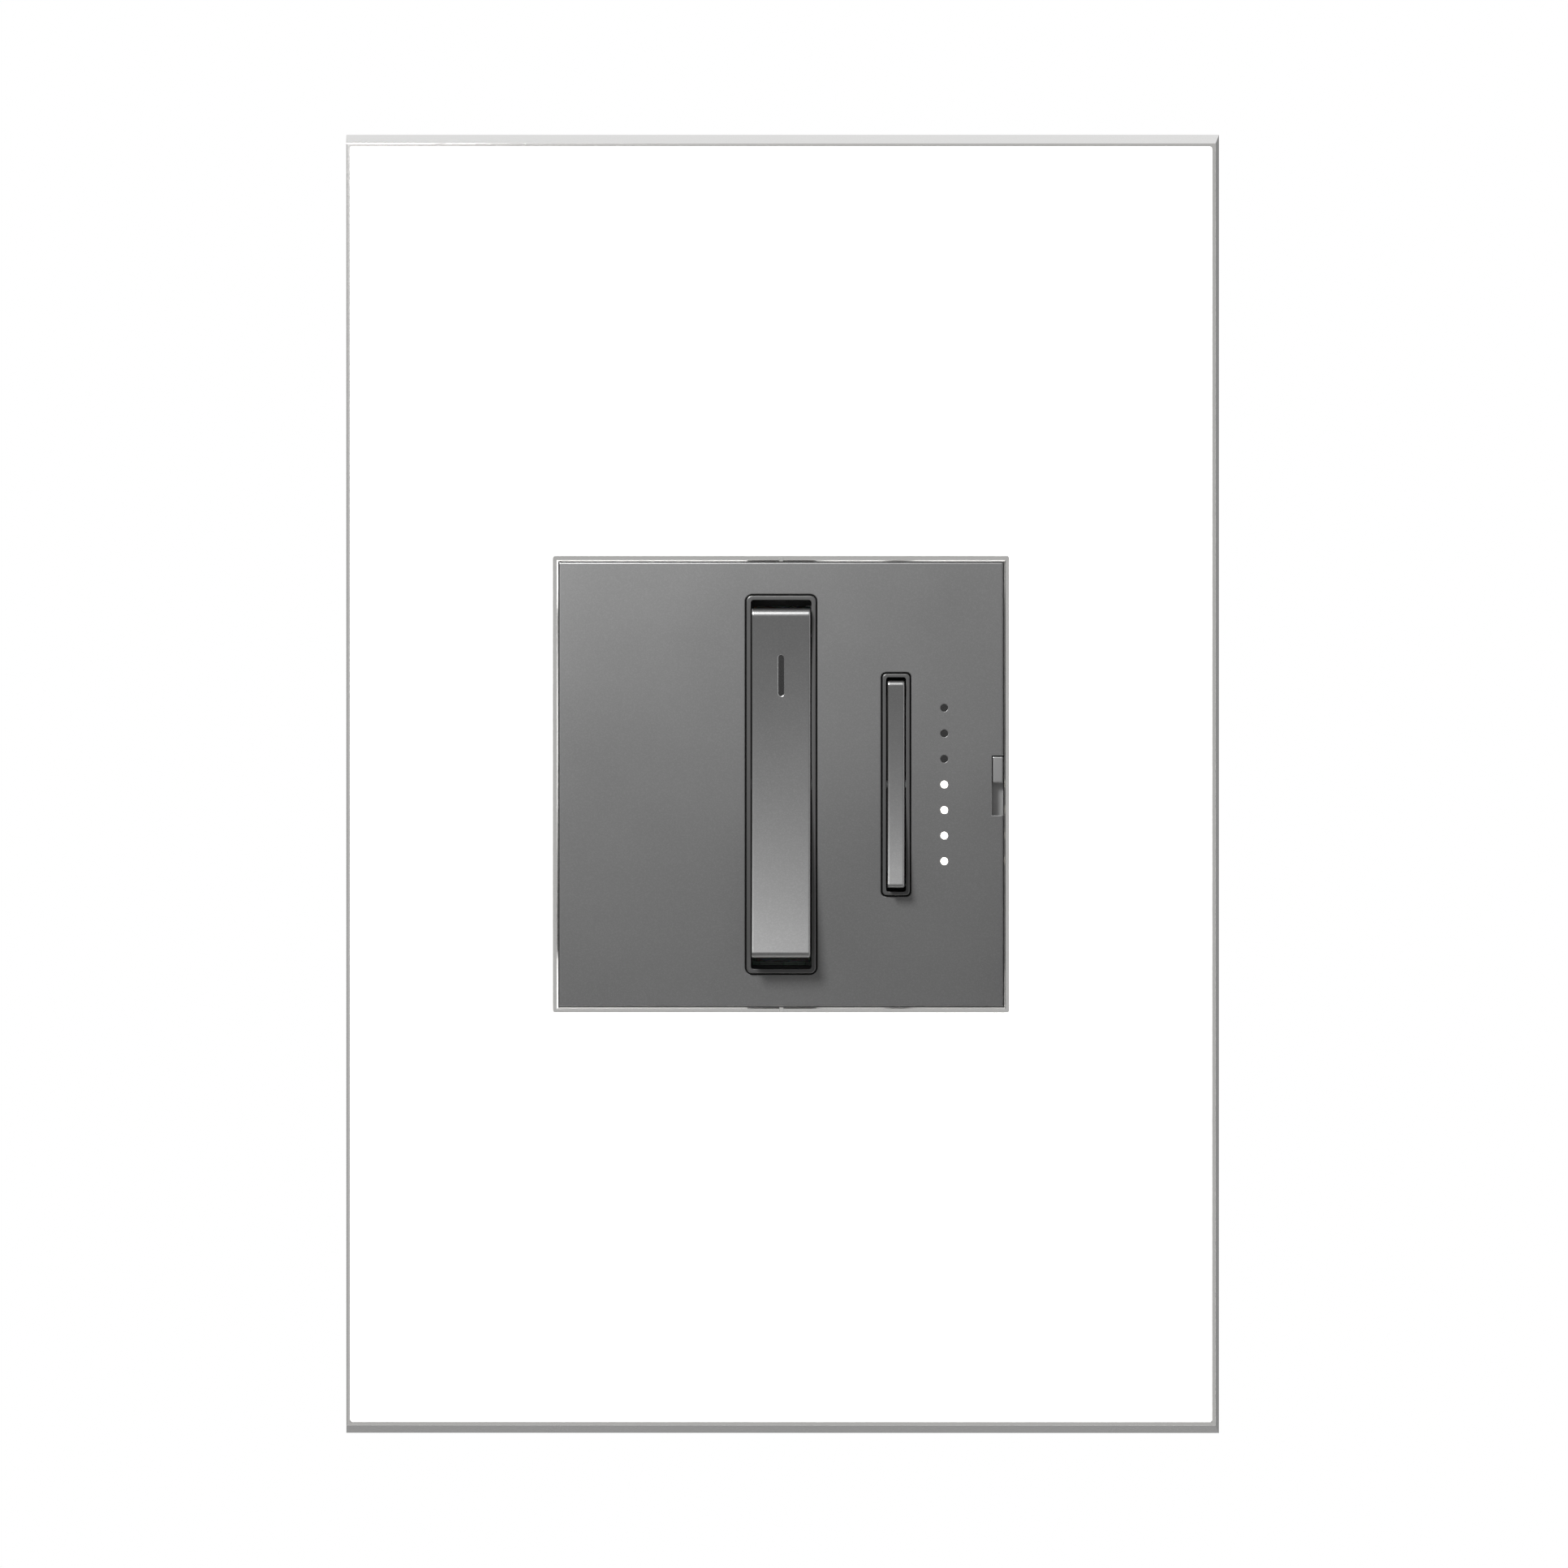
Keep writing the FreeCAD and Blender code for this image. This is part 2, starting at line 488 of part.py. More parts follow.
def control_chassis():
    plate = block(BOARD, CHASSIS_FRONT, CHASSIS_BACK, BOARD)
    saddles = [pin_saddle(3.3, 5.3, PADDLE_PIN_R, 2.4), pin_saddle(-5.3, -3.3, PADDLE_PIN_R, 2.4),
               pin_saddle(ROCKER_X - 3.1, ROCKER_X - 1.7, ROCKER_PIN_R, 2.0),
               pin_saddle(ROCKER_X + 1.7, ROCKER_X + 3.1, ROCKER_PIN_R, 2.0)]
    rail = box(17.55, 18.1, -6.5, CHASSIS_FRONT, -6.6, 6.6)
    left_rest = box(-20.0, -18.8, FACE + FACE_T, CHASSIS_FRONT, -12.0, 12.0)
    plate = joined([plate, rail, left_rest] + saddles)
    windows = [block(6.0, -4, 0, 9.4, 0, 13.2), block(6.0, -4, 0, 6.4, 0, -PADDLE_LEG_Z),
               block(4.4, -4, 0, 4.4, ROCKER_X, ROCKER_LEG_Z),
               block(4.4, -4, 0, 4.4, ROCKER_X, -ROCKER_LEG_Z),
               block(2.3, -4, 0, 18.0, LIGHT_X + 0.01), box(18.1, 20.3, -4, 0, -5.6, 5.6),
               box(-18.4, -7.0, -4, 0, -16.1, 16.1)]
    return cut(plate, *(windows + post_holes(-4, 0)))


def light_guide_block():
    """Black divider that keeps the light of each level light to its own lens."""
    body = block(2.3, FACE + FACE_T, CHASSIS_BACK - 0.7, 18.0, LIGHT_X + 0.01)
    bores = [rod_y(LENS_STEM_R, -8, 0, LIGHT_X, light_z(k)) for k in range(LIGHT_COUNT)]
    return cut(body, *bores)


def level_lens(k):
    tip = rod_y(LENS_R, FACE - 0.03, FACE + FACE_T, LIGHT_X, light_z(k))
    stem = rod_y(LENS_STEM_R, FACE + FACE_T, CHASSIS_BACK - 0.7, LIGHT_X, light_z(k))
    return tip.fuse(stem).removeSplitter()


def level_leds():
    return [block(1.0, CHASSIS_BACK - LED_H, CHASSIS_BACK, 0.6, LIGHT_X, light_z(k))
            for k in range(LIGHT_COUNT)]


def locator_led():
    return block(1.0, CHASSIS_BACK - LED_H, CHASSIS_BACK, 1.6, 0, LOCATOR_Z)


# ---------------------------------------------------------------- service slide
def service_slide():
    """Knob, the strip that keeps the notch closed in both positions, and the contact carrier inside."""
    knob_top = NOTCH_TOP - 0.08
    knob_bottom = knob_top - KNOB_H
    knob = box(NOTCH_X + 0.07, BEZEL / 2 - 0.05, KNOB_FRONT, -7.6, knob_bottom, knob_top)
    knob = knob.makeFillet(0.15, flat_edges(knob, KNOB_FRONT))
    strip = box(BEZEL / 2 - SKIRT_T + 0.05, BEZEL / 2 - 0.05, -7.7, -6.45,
                knob_bottom - 3.5, knob_top + 3.4)
    arm = box(19.0, BEZEL / 2 - 0.1, -7.2, -6.45, knob_bottom, knob_top)
    carrier = box(18.25, 20.6, -7.2, CHASSIS_FRONT - 0.05, -1.4, 4.2)
    return joined([strip, knob, arm, carrier])


def service_contact_bridge():
    return box(18.4, 20.1, CHASSIS_FRONT - 0.05, CHASSIS_FRONT + 0.55, -1.2, 4.0)


def service_contact_posts():
    """Fixed contacts, with tails that run back to the power board."""
    made = []
    for z0, z1 in CONTACT_Z:
        low, high = z0 + 0.3, z1 - 0.3
        head = box(TAIL_X - 0.3, TAIL_X + TAIL_W + 0.3, CHASSIS_BACK - 0.5, CHASSIS_BACK, z0, z1)
        tail = box(TAIL_X, TAIL_X + TAIL_W, CHASSIS_BACK, TAIL_TURN, low, high)
        turn = box(TAIL_END_X, TAIL_X + TAIL_W, TAIL_TURN - TAIL_W, TAIL_TURN, low, high)
        end = box(TAIL_END_X, TAIL_END_X + TAIL_W, TAIL_TURN - TAIL_W, POWER_BOARD_Y, low, high)
        made.append(joined([head, tail, turn, end]))
    return made


# ---------------------------------------------------------------- control board
def link_z(k):
    return (k - (LINK_COUNT - 1) / 2) * LINK_PITCH


def link_pins(y0, y1):
    return [rod_y(LINK_PIN_R, y0, y1, LINK_X, link_z(k)) for k in range(LINK_COUNT)]


def control_board():
    board = block(BOARD, CHASSIS_BACK, -SHEET_T, BOARD)
    tails = [box(TAIL_X, TAIL_X + TAIL_W, -3, 1, z0 + 0.3, z1 - 0.3) for z0, z1 in CONTACT_Z]
    return cut(board, *(post_holes(-3, 1) + link_pins(-3, 1) + tails))


def microcontroller():
    """Square chip with leads along its four sides."""
    x, z = -12.6, 11.4
    top = block(7.0, CHASSIS_BACK - 1.2, CHASSIS_BACK - 0.1, 7.0, x, z)
    leads = []
    for k in range(8):
        offset = (k - 3.5) * 0.8
        leads.append(block(9.0, CHASSIS_BACK - 0.5, CHASSIS_BACK, 0.35, x, z + offset))
        leads.append(block(0.35, CHASSIS_BACK - 0.5, CHASSIS_BACK, 9.0, x + offset, z))
    return joined([top] + leads)


def crystal():
    can = rounded(4.2, 9.6, 2.0, CHASSIS_BACK - 3.4, CHASSIS_BACK - 0.3, -10.0, -10.6)
    foot = rounded(4.8, 10.2, 2.3, CHASSIS_BACK - 0.3, CHASSIS_BACK, -10.0, -10.6)
    return can.fuse(foot).removeSplitter()


def chip_capacitors():
    places = [(-16.2, -8.0), (-16.2, -10.6), (-16.2, -13.2), (-16.6, 2.6), (-16.6, 0.0)]
    return [block(2.0, CHASSIS_BACK - 1.0, CHASSIS_BACK, 1.25, x, z) for x, z in places]


def board_link_header():
    strip = block(2.5, -SHEET_T, SINK_T + 0.5, LINK_COUNT * LINK_PITCH, LINK_X)
    far = block(2.5, POWER_BOARD_Y - 2.5, POWER_BOARD_Y, LINK_COUNT * LINK_PITCH, LINK_X)
    pins = link_pins(-9, 40)
    return [cut(strip, *pins), cut(far, *pins)]


def board_link_pins():
    return link_pins(CHASSIS_BACK - SOLDER_END, POWER_BOARD_Y + BOARD_T + SOLDER_END)


def inner_windows():
    """Openings of the heat sink and its sheet: for the board link and the service contacts."""
    return [block(4.4, -1, 3, 17.4, LINK_X), block(2.8, -1, 3, 9.0, 19.2, 1.5)]


def insulating_sheet():
    return cut(block(BOARD, -SHEET_T, 0, BOARD), *(inner_windows() + post_holes(-3, 3)))


# ---------------------------------------------------------------- heat sink and power parts
def heat_sink():
    plate = rounded(SINK_W, SINK_H, 1.5, 0, SINK_T)
    tab = box(GROUND_X - TAB_W / 2, GROUND_X + TAB_W / 2, 0, TAB_BACK, -SINK_H / 2 - TAB_T, -SINK_H / 2)
    plate = joined([plate, tab])
    holes = [rod_y(HOUSING_SCREW_R, -3, 3, sx * HOUSING_SCREW_X, sz * HOUSING_SCREW_Z)
             for sx, sz in CORNERS]
    holes += [rod_y(TRANSISTOR_SCREW_R, -3, 3, x, TRANSISTOR_HOLE_Z) for x in TRANSISTOR_X]
    holes.append(rod_z(TERMINAL_SCREW_R, -SINK_H / 2 - 2, -SINK_H / 2 + 0.5, GROUND_X, GROUND_Y))
    return cut(plate, *(inner_windows() + post_holes(-3, 3) + holes))


def ground_screw():
    """Hexagon washer-head grounding screw, driven up from below the tab."""
    seat = -SINK_H / 2 - TAB_T
    washer = rod_z(HEX_WASHER_R, seat - HEX_WASHER_T, seat, GROUND_X, GROUND_Y)
    top = seat - HEX_WASHER_T - HEX_H
    corners = []
    for k in range(6):
        turn = math.radians(60 * k)
        corners.append(V(GROUND_X + HEX_R * math.cos(turn), GROUND_Y + HEX_R * math.sin(turn), top))
    head = Part.Face(Part.makePolygon(corners + corners[:1])).extrude(V(0, 0, HEX_H))
    shank = rod_z(TERMINAL_SCREW_R, seat, seat + 2.0, GROUND_X, GROUND_Y)
    recess = cross_recess(V(GROUND_X, GROUND_Y, top), V(0, 0, -1), 4.0, 1.2)
    return joined([washer, head, shank]).cut(recess)


def thermal_pads():
    return [cut(block(10.8, SINK_T, SINK_T + PAD_T, 17.0, x, TRANSISTOR_Z + 1.2),
                rod_y(TRANSISTOR_SCREW_R, 0, 9, x, TRANSISTOR_HOLE_Z)) for x in TRANSISTOR_X]


def transistor_leads():
    """Places of the transistors' leads on the power board."""
    return [x + k * LINK_PITCH for x in TRANSISTOR_X for k in (-1, 0, 1)]


def power_transistors():
    """Flat-tab power transistors: metal tab on the pad, moulded body behind it and three leads."""
    made = []
    for x in TRANSISTOR_X:
        y = SINK_T + PAD_T
        tab = cut(block(10.0, y, y + TRANSISTOR_TAB_T, 15.6, x, TRANSISTOR_Z + 1.5),
                  rod_y(TRANSISTOR_SCREW_R, 0, 9, x, TRANSISTOR_HOLE_Z))
        body = block(10.0, y, y + 4.5, 9.0, x, TRANSISTOR_Z - 2.0)
        leads = []
        for lead_x in (x - LINK_PITCH, x, x + LINK_PITCH):
            leads.append(block(LEAD_W, y + 2.2, y + 2.2 + LEAD_T, 4.0, lead_x, TRANSISTOR_Z - 8.4))
            leads.append(block(LEAD_W, y + 2.2, POWER_BOARD_Y + BOARD_T + 0.6, LEAD_T, lead_x, LEAD_Z))
        made.append(joined([tab, body] + leads))
    return made


def transistor_screws():
    seat = SINK_T + PAD_T + TRANSISTOR_TAB_T
    return [screw(2.6, 1.7, TRANSISTOR_SCREW_R, seat, V(x, seat, TRANSISTOR_HOLE_Z), V(0, 1, 0))
            for x in TRANSISTOR_X]


def bezel_screws():
    return [screw(1.9, 1.4, BEZEL_SCREW_R, SINK_T + 5.8, V(sx * BEZEL_POST, SINK_T, sz * BEZEL_POST),
                  V(0, 1, 0)) for sx, sz in CORNERS]


def power_board():
    board = block(29.4, POWER_BOARD_Y, POWER_BOARD_Y + BOARD_T, 58.0)
    leads = [block(LEAD_W, 20, 40, LEAD_T, x, LEAD_Z) for x in transistor_leads()]
    return cut(board, *(link_pins(20, 40) + leads))


def choke_core():
    return Part.makeTorus(CHOKE_RING, CHOKE_TUBE - 0.6, V(0, CHOKE_Y, CHOKE_Z), V(0, 1, 0))


def choke_winding():
    """Turns of enamelled wire round the core, each a closed ring."""
    made = []
    for k in range(CHOKE_TURNS):
        turn = math.radians(20 + 320 * k / (CHOKE_TURNS - 1))
        centre = V(CHOKE_RING * math.cos(turn), CHOKE_Y, CHOKE_Z + CHOKE_RING * math.sin(turn))
        made.append(Part.makeTorus(CHOKE_TUBE, CHOKE_WIRE_R, centre, V(-math.sin(turn), 0, math.cos(turn))))
    return made


def film_capacitor():
    return rounded(13.0, 6.2, 0.5, POWER_BOARD_Y - 11.5, POWER_BOARD_Y, 4.0, 21.6)


def bulk_capacitor():
    """Electrolytic can standing on the power board, with a crimped ring near its foot."""
    can = rod_y(CAN_R, POWER_BOARD_Y - 12.5, POWER_BOARD_Y, CAN_X, CAN_Z)
    groove = cut(rod_y(CAN_R + 0.5, POWER_BOARD_Y - 2.2, POWER_BOARD_Y - 1.6, CAN_X, CAN_Z),
                 rod_y(CAN_R - 0.25, POWER_BOARD_Y - 3, POWER_BOARD_Y, CAN_X, CAN_Z))
    return cut(can, groove)


def varistor():
    disc = Part.makeCylinder(4.6, 3.4, V(6.5, POWER_BOARD_Y - 7.2, 12.0), V(0, 0, 1))
    legs = [rod_y(0.35, POWER_BOARD_Y - 4.0, POWER_BOARD_Y, 6.5 + dx, 13.7) for dx in (-2.5, 2.5)]
    return joined([disc] + legs)


def fuse():
    """Glass tube fuse."""
    return rod_x(FUSE_R, -9.0, 9.0, FUSE_Y, FUSE_Z)


def fuse_caps():
    """Tinned end caps of the fuse, each with a foot soldered to the board."""
    made = []
    for s in (-1, 1):
        cap = rod_x(FUSE_CAP_R, *sorted((s * 5.5, s * 10.0)), FUSE_Y, FUSE_Z)
        cap = cut(cap, fuse())
        foot = block(0.8, FUSE_Y + FUSE_CAP_R - 0.2, POWER_BOARD_Y, 0.8, s * 8.0, FUSE_Z)
        made.append(joined([cap, foot]))
    return made


# ---------------------------------------------------------------- housing and terminals
def mirrored_box(side, x0, x1, y0, y1, z0, z1):
    return box(min(side * x0, side * x1), max(side * x0, side * x1), y0, y1, z0, z1)


def rear_housing():
    outer = rounded(HOUSING_W, HOUSING_H, 2.0, SINK_T, HOUSING_BACK)
    outer = outer.makeChamfer(0.6, flat_edges(outer, HOUSING_BACK))
    half = HOUSING_W / 2
    room = block(HOUSING_W - 2 * HOUSING_WALL, SINK_T - 1, HOUSING_BACK - 2.2, HOUSING_H - 2 * HOUSING_WALL)
    recess = rounded(RECESS_W, RECESS_H, 1.0, HOUSING_BACK - RECESS_DEEP, HOUSING_BACK + 1)
    gauge = slot_plug(GAUGE_W, GAUGE_H, HOUSING_BACK - GAUGE_DEEP, HOUSING_BACK + 1, 0, GAUGE_Z)
    keep, pockets = [], []
    for side, up in CORNERS:
        z0, z1 = up * TERMINAL_Z - POCKET_H / 2, up * TERMINAL_Z + POCKET_H / 2
        inner = half - POCKET_DEPTH
        keep.append(mirrored_box(side, inner - 1.4, half, POCKET_FRONT - 1.4, HOUSING_BACK,
                                 z0 - 1.2, z1 + 1.2))
        pockets.append(mirrored_box(side, inner, half + 1, POCKET_FRONT, HOUSING_BACK + 1, z0, z1))
        start, end = sorted((side * (inner - 1.2), side * inner))
        pockets.append(rod_x(TERMINAL_SCREW_R, start, end, TERMINAL_SCREW_Y, up * TERMINAL_Z))
    for sx, sz in CORNERS:
        x, z = sx * HOUSING_SCREW_X, sz * HOUSING_SCREW_Z
        keep.append(block(6.4, SINK_T, HOUSING_BACK, 6.0, sx * (half - 3.8), sz * (HOUSING_H / 2 - 3.4)))
        pockets.append(rod_y(HOUSING_SCREW_R, 0, 40, x, z))
        pockets.append(rod_y(COUNTERBORE_R, HOUSING_BACK - COUNTERBORE_DEEP, 40, x, z))
    room = cut(room, *keep)
    ribs = [block(RIB_W, SINK_T + 2.0, HOUSING_BACK - 4.0, RIB_T, (k - (RIB_COUNT - 1) / 2) * RIB_PITCH,
                  sz * (HOUSING_H + RIB_T) / 2) for k in range(RIB_COUNT) for sz in (-1, 1)]
    return joined([cut(outer, room, recess, gauge, *pockets)] + ribs)


def housing_screws():
    seat = HOUSING_BACK - COUNTERBORE_DEEP
    return [screw(2.3, 1.6, HOUSING_SCREW_R, seat - 0.2,
                  V(sx * HOUSING_SCREW_X, seat, sz * HOUSING_SCREW_Z), V(0, 1, 0)) for sx, sz in CORNERS]


def screw_hole(side, x, z):
    """The cutter for a terminal screw, from x outwards."""
    start = V(side * x, TERMINAL_SCREW_Y, z)
    return Part.makeCylinder(TERMINAL_SCREW_R, POCKET_DEPTH + 2, start, V(side, 0, 0))


def terminal_plates():
    """Brass plates against the inner wall of each pocket, tapped for the terminal screw."""
    made = []
    inner = HOUSING_W / 2 - POCKET_DEPTH
    for side, up in CORNERS:
        z = up * TERMINAL_Z
        plate = mirrored_box(side, inner, inner + TERMINAL_PLATE_T, POCKET_FRONT + 0.4, TERMINAL_PLATE_BACK,
                             z - TERMINAL_PLATE_H / 2, z + TERMINAL_PLATE_H / 2)
        made.append(cut(plate, screw_hole(side, inner - 1, z)))
    return made


def terminal_clamps():
    """Pressure plates under the terminal screw heads, with their rims turned in."""
    made = []
    front, back = TERMINAL_SCREW_Y - CLAMP_W / 2, TERMINAL_SCREW_Y + CLAMP_W / 2
    for side, up in CORNERS:
        z = up * TERMINAL_Z
        low, high = z - TERMINAL_PLATE_H / 2, z + TERMINAL_PLATE_H / 2
        plate = mirrored_box(side, CLAMP_OUT - TERMINAL_PLATE_T, CLAMP_OUT, front, back, low, high)
        rim = mirrored_box(side, CLAMP_OUT - 2.0, CLAMP_OUT, front, front + TERMINAL_PLATE_T, low, high)
        made.append(cut(plate.fuse(rim).removeSplitter(), screw_hole(side, CLAMP_OUT - 3, z)))
    return made


def terminal_screw(side, up):
    return screw(3.6, 1.7, TERMINAL_SCREW_R, POCKET_DEPTH + 0.3,
                 V(side * CLAMP_OUT, TERMINAL_SCREW_Y, up * TERMINAL_Z), V(side, 0, 0))


# ---------------------------------------------------------------- the whole dimmer
NODES = {
    "wall_plate_panel": wall_plate_panel,
    "wall_plate_base": wall_plate_base,
    "mounting_frame": mounting_frame,
    "box_screws": box_screws,
    "screw_retainers": screw_retainers,
    "front_bezel": front_bezel,
    "paddle_surround": paddle_surround,
    "rocker_surround": rocker_surround,
    "paddle": paddle,
    "paddle_light_pipe": paddle_light_pipe,
    "paddle_pivot_pin": paddle_pivot_pin,
    "dim_rocker": dim_rocker,
    "dim_rocker_pivot_pin": dim_rocker_pivot_pin,
    "paddle_return_domes": lambda: return_domes(0, PADDLE_LEG_Z, 5.6, 2.2, 1.3),
    "rocker_return_domes": lambda: return_domes(ROCKER_X, ROCKER_LEG_Z, 4.0, 1.6, 1.0),
    "control_chassis": control_chassis,
    "light_guide_block": light_guide_block,
    "level_leds": level_leds,
    "locator_led": locator_led,
    "service_slide": service_slide,
    "service_contact_bridge": service_contact_bridge,
    "service_contact_posts": service_contact_posts,
    "control_board": control_board,
    "microcontroller": microcontroller,
    "crystal": crystal,
    "chip_capacitors": chip_capacitors,
    "board_link_header": board_link_header,
    "board_link_pins": board_link_pins,
    "insulating_sheet": insulating_sheet,
    "heat_sink": heat_sink,
    "ground_screw": ground_screw,
    "bezel_screws": bezel_screws,
    "thermal_pads": thermal_pads,
    "power_transistors": power_transistors,
    "transistor_screws": transistor_screws,
    "power_board": power_board,
    "choke_core": choke_core,
    "choke_winding": choke_winding,
    "film_capacitor": film_capacitor,
    "bulk_capacitor": bulk_capacitor,
    "varistor": varistor,
    "fuse": fuse,
    "fuse_caps": fuse_caps,
    "rear_housing": rear_housing,
    "housing_screws": housing_screws,
    "terminal_plates": terminal_plates,
    "terminal_clamps": terminal_clamps,
    "line_terminal_screw": lambda: terminal_screw(-1, 1),
    "traveler_terminal_screw": lambda: terminal_screw(-1, -1),
    "load_terminal_screw": lambda: terminal_screw(1, 1),
    "neutral_terminal_screw": lambda: terminal_screw(1, -1),
}
for number in range(LIGHT_COUNT):
    NODES[f"level_lens_{number + 1}"] = lambda k=number: level_lens(k)

os.makedirs("parts", exist_ok=True)
for name, make in NODES.items():
    made = make()
    shape = Part.makeCompound(made) if isinstance(made, list) else made
    solids = shape.Solids
    if not solids or not all(s.isValid() and s.Volume > 0 for s in solids):
        raise SystemExit(f"{name} has no valid solid")
    expected = len(made) if isinstance(made, list) else 1
    if len(solids) != expected:
        raise SystemExit(f"{name} has {len(solids)} solids and should have {expected}")
    Part.makeCompound(solids).exportStep(f"parts/{name}.step")
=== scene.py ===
import math

import bpy
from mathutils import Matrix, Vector


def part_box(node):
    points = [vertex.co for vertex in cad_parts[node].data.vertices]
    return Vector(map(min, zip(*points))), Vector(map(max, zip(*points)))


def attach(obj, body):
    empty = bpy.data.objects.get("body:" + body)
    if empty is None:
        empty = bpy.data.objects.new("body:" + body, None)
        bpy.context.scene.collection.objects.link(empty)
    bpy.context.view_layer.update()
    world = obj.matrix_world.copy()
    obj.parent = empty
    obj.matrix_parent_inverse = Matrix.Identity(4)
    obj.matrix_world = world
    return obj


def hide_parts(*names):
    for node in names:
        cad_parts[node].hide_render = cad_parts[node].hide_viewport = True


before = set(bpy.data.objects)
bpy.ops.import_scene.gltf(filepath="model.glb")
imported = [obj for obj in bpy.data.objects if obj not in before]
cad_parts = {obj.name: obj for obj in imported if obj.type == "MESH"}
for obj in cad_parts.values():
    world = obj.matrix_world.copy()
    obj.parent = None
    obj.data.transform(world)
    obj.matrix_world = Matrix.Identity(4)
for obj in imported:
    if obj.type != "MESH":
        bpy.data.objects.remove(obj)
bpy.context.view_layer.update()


# ---------------------------------------------------------------- camera
# A long lens almost square on to the plate: a little to the right of it and a little above, so that the
# right side and the top of the trim just show.
MM = 0.001
panel_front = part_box("wall_plate_panel")[0].y
view_width = 157.1 * MM
lens_mm = 1200.0
sensor_mm = 36.0
view_right = math.radians(0.93)
view_up = math.radians(0.35)

camera = bpy.data.objects.new("camera", bpy.data.cameras.new("camera"))
bpy.context.scene.collection.objects.link(camera)
bpy.context.scene.camera = camera
camera.data.lens = lens_mm
camera.data.sensor_width = sensor_mm
camera.data.clip_start = 0.05
camera.data.clip_end = 50.0
aim = Vector((0.3 * MM, panel_front, 0.05 * MM))
away = Vector((math.sin(view_right) * math.cos(view_up), -math.cos(view_right) * math.cos(view_up),
               math.sin(view_up)))
camera.location = aim + away * (view_width * lens_mm / sensor_mm)
camera.rotation_euler = (-away).to_track_quat("-Z", "Y").to_euler()


# ---------------------------------------------------------------- studio
# A small soft box close by at the upper left shades the paddle and lets the light fall off over the grey
# face, and a large one behind lights the back. The dome round them has a front and a back half. Bevels
# mirror the front half, and the drafted sides of the plate mirror the back half.
def linear(code):
    """A hex colour as it is seen, turned to the linear colour that a shader takes."""
    channels = [int(code[i:i + 2], 16) / 255 for i in (1, 3, 5)]
    return [c / 12.92 if c <= 0.04045 else ((c + 0.055) / 1.055) ** 2.4 for c in channels] + [1.0]


def add(tree, kind, inputs=(), **settings):
    """Adds a node with its settings, and gives its inputs, in the node's order or by name or number.

    An input is a value, a socket to link, or a node whose first output is linked. A mix of colours has its
    share at 0 and the colours at 6 and 7, and gives its result at 2.
    """
    made = tree.nodes.new(kind)
    for key, value in settings.items():
        setattr(made, key, value)
    for place, value in (inputs if isinstance(inputs, dict) else dict(enumerate(inputs))).items():
        if isinstance(value, bpy.types.Node):
            value = value.outputs[0]
        if isinstance(value, bpy.types.NodeSocket):
            tree.links.new(value, made.inputs[place])
        else:
            made.inputs[place].default_value = value
    return made


def soft_box(name, place, target, size, power):
    """A square lamp at a place, turned to its target."""
    light = bpy.data.lights.new(name, "AREA")
    light.shape = "SQUARE"
    light.size = size
    light.energy = power
    lamp = bpy.data.objects.new(name, light)
    bpy.context.scene.collection.objects.link(lamp)
    lamp.location = place
    lamp.rotation_euler = (Vector(target) - Vector(place)).to_track_quat("-Z", "Y").to_euler()


soft_box("key_box", place=(-0.064, -0.143, 0.117), target=(0, 0, 0), size=0.05, power=1.17)
soft_box("back_box", place=(0.30, 0.60, 0.45), target=(0, 0.02, 0), size=0.35, power=5.0)

dome = bpy.data.worlds.new("dome")
bpy.context.scene.world = dome
dome.use_nodes = True
sky = dome.node_tree
sky.nodes.clear()
direction = add(sky, "ShaderNodeSeparateXYZ", [add(sky, "ShaderNodeTexCoord").outputs["Generated"]])

# each row adds light to a half: along an axis, from here to there, from this brightness to that
dome_halves = {}
for half, axis, start, end, low, high in (
        ("front", "Z", 0.02, 0.45, 0.13, 0.75),  # brighter above
        ("front", "Z", 0.60, 0.90, 0.0, -0.15),  # a little dimmer again overhead
        ("front", "Z", -0.30, -0.02, 0.33, 0.0),  # brighter below
        ("front", "Z", -0.9, -0.5, 0.4, 0.0),  # brighter still underneath
        ("front", "X", 0.45, 0.90, 0.0, 1.9),  # brightest at the right
        ("front", "X", -0.8, -0.2, -0.1, 0.0),  # dark at the left
        ("front", "Y", -0.985, -0.960, 0.40, 0.0),  # a small patch straight ahead
        ("back", "Z", 0.03, 0.12, 0.25, 0.80),  # bright at the top
        ("back", "Z", -0.12, -0.04, 0.06, 0.0)):  # dim at the bottom
    share = add(sky, "ShaderNodeMapRange", [direction.outputs[axis], start, end, low, high],
                interpolation_type="SMOOTHSTEP")
    if half in dome_halves:
        share = add(sky, "ShaderNodeMath", [dome_halves[half], share], operation="ADD")
    dome_halves[half] = share

behind = add(sky, "ShaderNodeMapRange", [direction.outputs["Y"], -0.05, 0.05, 0.0, 1.0],
             interpolation_type="SMOOTHSTEP")
strength = add(sky, "ShaderNodeMix", {0: behind, 2: dome_halves["front"], 3: dome_halves["back"]})
lit = add(sky, "ShaderNodeBackground", [linear("#ffffff"), strength])
backdrop = add(sky, "ShaderNodeBackground", [linear("#ffffff"), 1.0])
ray = add(sky, "ShaderNodeLightPath")
either = add(sky, "ShaderNodeMixShader", [ray.outputs["Is Camera Ray"], lit, backdrop])
add(sky, "ShaderNodeOutputWorld", [either])

bpy.context.scene.view_settings.view_transform = "Standard"
bpy.context.scene.view_settings.look = "None"


